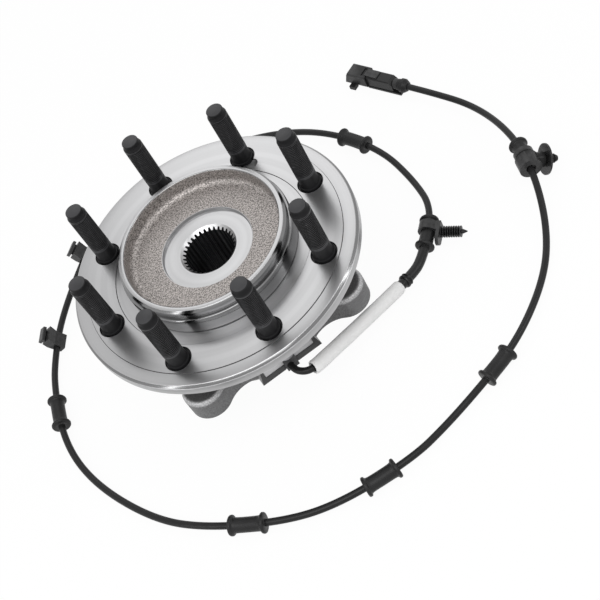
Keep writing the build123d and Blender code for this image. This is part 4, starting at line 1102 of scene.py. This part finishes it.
class HUBUNIT_OT_stage(bpy.types.Operator):
    """Sets the floor, the lights and the camera"""

    bl_idname = "hubunit.stage"
    bl_label = "Stage"

    # Name, place, height that it points at, size and the setting of its power
    lamps = (
        ("key", (0.35, 1.05, 1.15), 0.05, (0.9, 0.7), "key_power"),
        ("overhead", (-0.3, -0.7, 1.3), 0.05, (1.2, 0.9), "fill_power"),
        ("left_strip", (-1.1, -0.3, 0.75), 0.08, (0.1, 1.2), "rim_power"),
        ("right_strip", (1.0, -0.5, 0.85), 0.08, (0.1, 1.0), "rim_power"),
    )
    floor_radius = 6.0
    floor_drop = 0.0002
    floor_glow = 0.95

    def execute(self, context):
        settings = context.scene.stage_settings
        scene = context.scene
        scene.view_settings.view_transform = "Standard"
        self.world(scene, settings.sky_strength)
        self.floor()
        for name, place, aim, size, setting in self.lamps:
            area_lamp(name, place, aim, size, getattr(settings, setting))
        self.camera(scene)
        return {"FINISHED"}

    def world(self, scene, strength):
        """Even light from all round, which the camera, metal and glass see as white."""
        world = bpy.data.worlds.new("studio")
        scene.world = world
        world.use_nodes = True
        tree = world.node_tree
        background = tree.nodes["Background"]
        level = tree.nodes.new("ShaderNodeMapRange")
        level.inputs["To Min"].default_value = strength
        level.inputs["To Max"].default_value = 1.0
        tree.links.new(seen_rays(tree), level.inputs["Value"])
        tree.links.new(level.outputs[0], background.inputs["Strength"])
        background.inputs["Color"].default_value = (1, 1, 1, 1)

    def floor(self):
        """White floor that keeps a soft trace of the object's shadow."""
        made = Shader(
            "white_floor", Roughness=0.9, Base_Color=(0.86, 0.86, 0.86, 1), Specular_IOR_Level=0.0
        )
        glow = made.node("ShaderNodeEmission")
        share = maths(made.tree, "MULTIPLY", seen_rays(made.tree), self.floor_glow)
        mix = made.node("ShaderNodeMixShader")
        made.link(share, mix.inputs[0])
        made.link(made.shader.outputs[0], mix.inputs[1])
        made.link(glow.outputs[0], mix.inputs[2])
        made.link(mix.outputs[0], made.tree.nodes["Material Output"].inputs["Surface"])
        build = bmesh.new()
        bmesh.ops.create_circle(build, cap_ends=True, segments=96, radius=self.floor_radius)
        mesh = to_mesh(build, "floor")
        mesh.materials.append(made.material)
        floor = add_object("floor", mesh)
        floor.location = (0, 0, -self.floor_drop)

    def camera(self, scene):
        """The photograph's camera, as it was fitted to the part."""
        camera = bpy.data.cameras.new("photo_camera")
        camera.lens = CAMERA_LENS_MM
        camera.sensor_width = SENSOR_MM
        camera.clip_start, camera.clip_end = 0.01, 20.0
        holder = add_object("photo_camera", camera)
        turn = Matrix((CAMERA_RIGHT, CAMERA_UP, CAMERA_BACK)).transposed()
        holder.matrix_world = Matrix.Translation(CAMERA_AT) @ turn.to_4x4()
        scene.camera = holder


class HUBUNIT_OT_materials(bpy.types.Operator):
    """Makes the unit's finishes"""

    bl_idname = "hubunit.materials"
    bl_label = "Finishes"

    def execute(self, context):
        make_materials(context)
        return {"FINISHED"}


class HUBUNIT_PT_panel(bpy.types.Panel):
    """Lists the steps that build the hub unit."""

    bl_label = "Hub unit"
    bl_idname = "HUBUNIT_PT_panel"
    bl_space_type = "VIEW_3D"
    bl_region_type = "UI"
    bl_category = "Hub unit"

    def draw(self, context):
        layout = self.layout
        for step in STEPS:
            layout.operator(step.bl_idname)
        for group in ("hub_settings", "housing_settings", "lead_settings", "stage_settings"):
            settings = getattr(context.scene, group)
            for name in settings.bl_rna.properties.keys():
                if name not in ("rna_type", "name"):
                    layout.prop(settings, name)


STEPS = (
    HUBUNIT_OT_materials,
    HUBUNIT_OT_stage,
    HUBUNIT_OT_lead,
    HUBUNIT_OT_grommets,
    HUBUNIT_OT_clips,
    HUBUNIT_OT_connector,
    HUBUNIT_OT_declare_lead,
    HUBUNIT_OT_hub,
    HUBUNIT_OT_studs,
    HUBUNIT_OT_bearing,
    HUBUNIT_OT_housing,
)
GROUPS = {
    "hub_settings": HubSettings,
    "housing_settings": HousingSettings,
    "lead_settings": LeadSettings,
    "stage_settings": StageSettings,
}


def register():
    for group in GROUPS.values():
        bpy.utils.register_class(group)
    for step in STEPS:
        bpy.utils.register_class(step)
    bpy.utils.register_class(HUBUNIT_PT_panel)
    for name, group in GROUPS.items():
        setattr(bpy.types.Scene, name, PointerProperty(type=group))


def unregister():
    for name in GROUPS:
        delattr(bpy.types.Scene, name)
    bpy.utils.unregister_class(HUBUNIT_PT_panel)
    for step in reversed(STEPS):
        bpy.utils.unregister_class(step)
    for group in GROUPS.values():
        bpy.utils.unregister_class(group)


def main():
    """Registers the classes and builds every piece."""
    register()
    bpy.ops.hubunit.materials()
    bpy.ops.hubunit.stage()
    bpy.ops.hubunit.lead()
    bpy.ops.hubunit.grommets()
    bpy.ops.hubunit.clips()
    bpy.ops.hubunit.connector()
    bpy.ops.hubunit.declare_lead()
    bpy.ops.hubunit.hub()
    bpy.ops.hubunit.studs()
    bpy.ops.hubunit.bearing()
    bpy.ops.hubunit.housing()


if __name__ == "__main__":
    main()
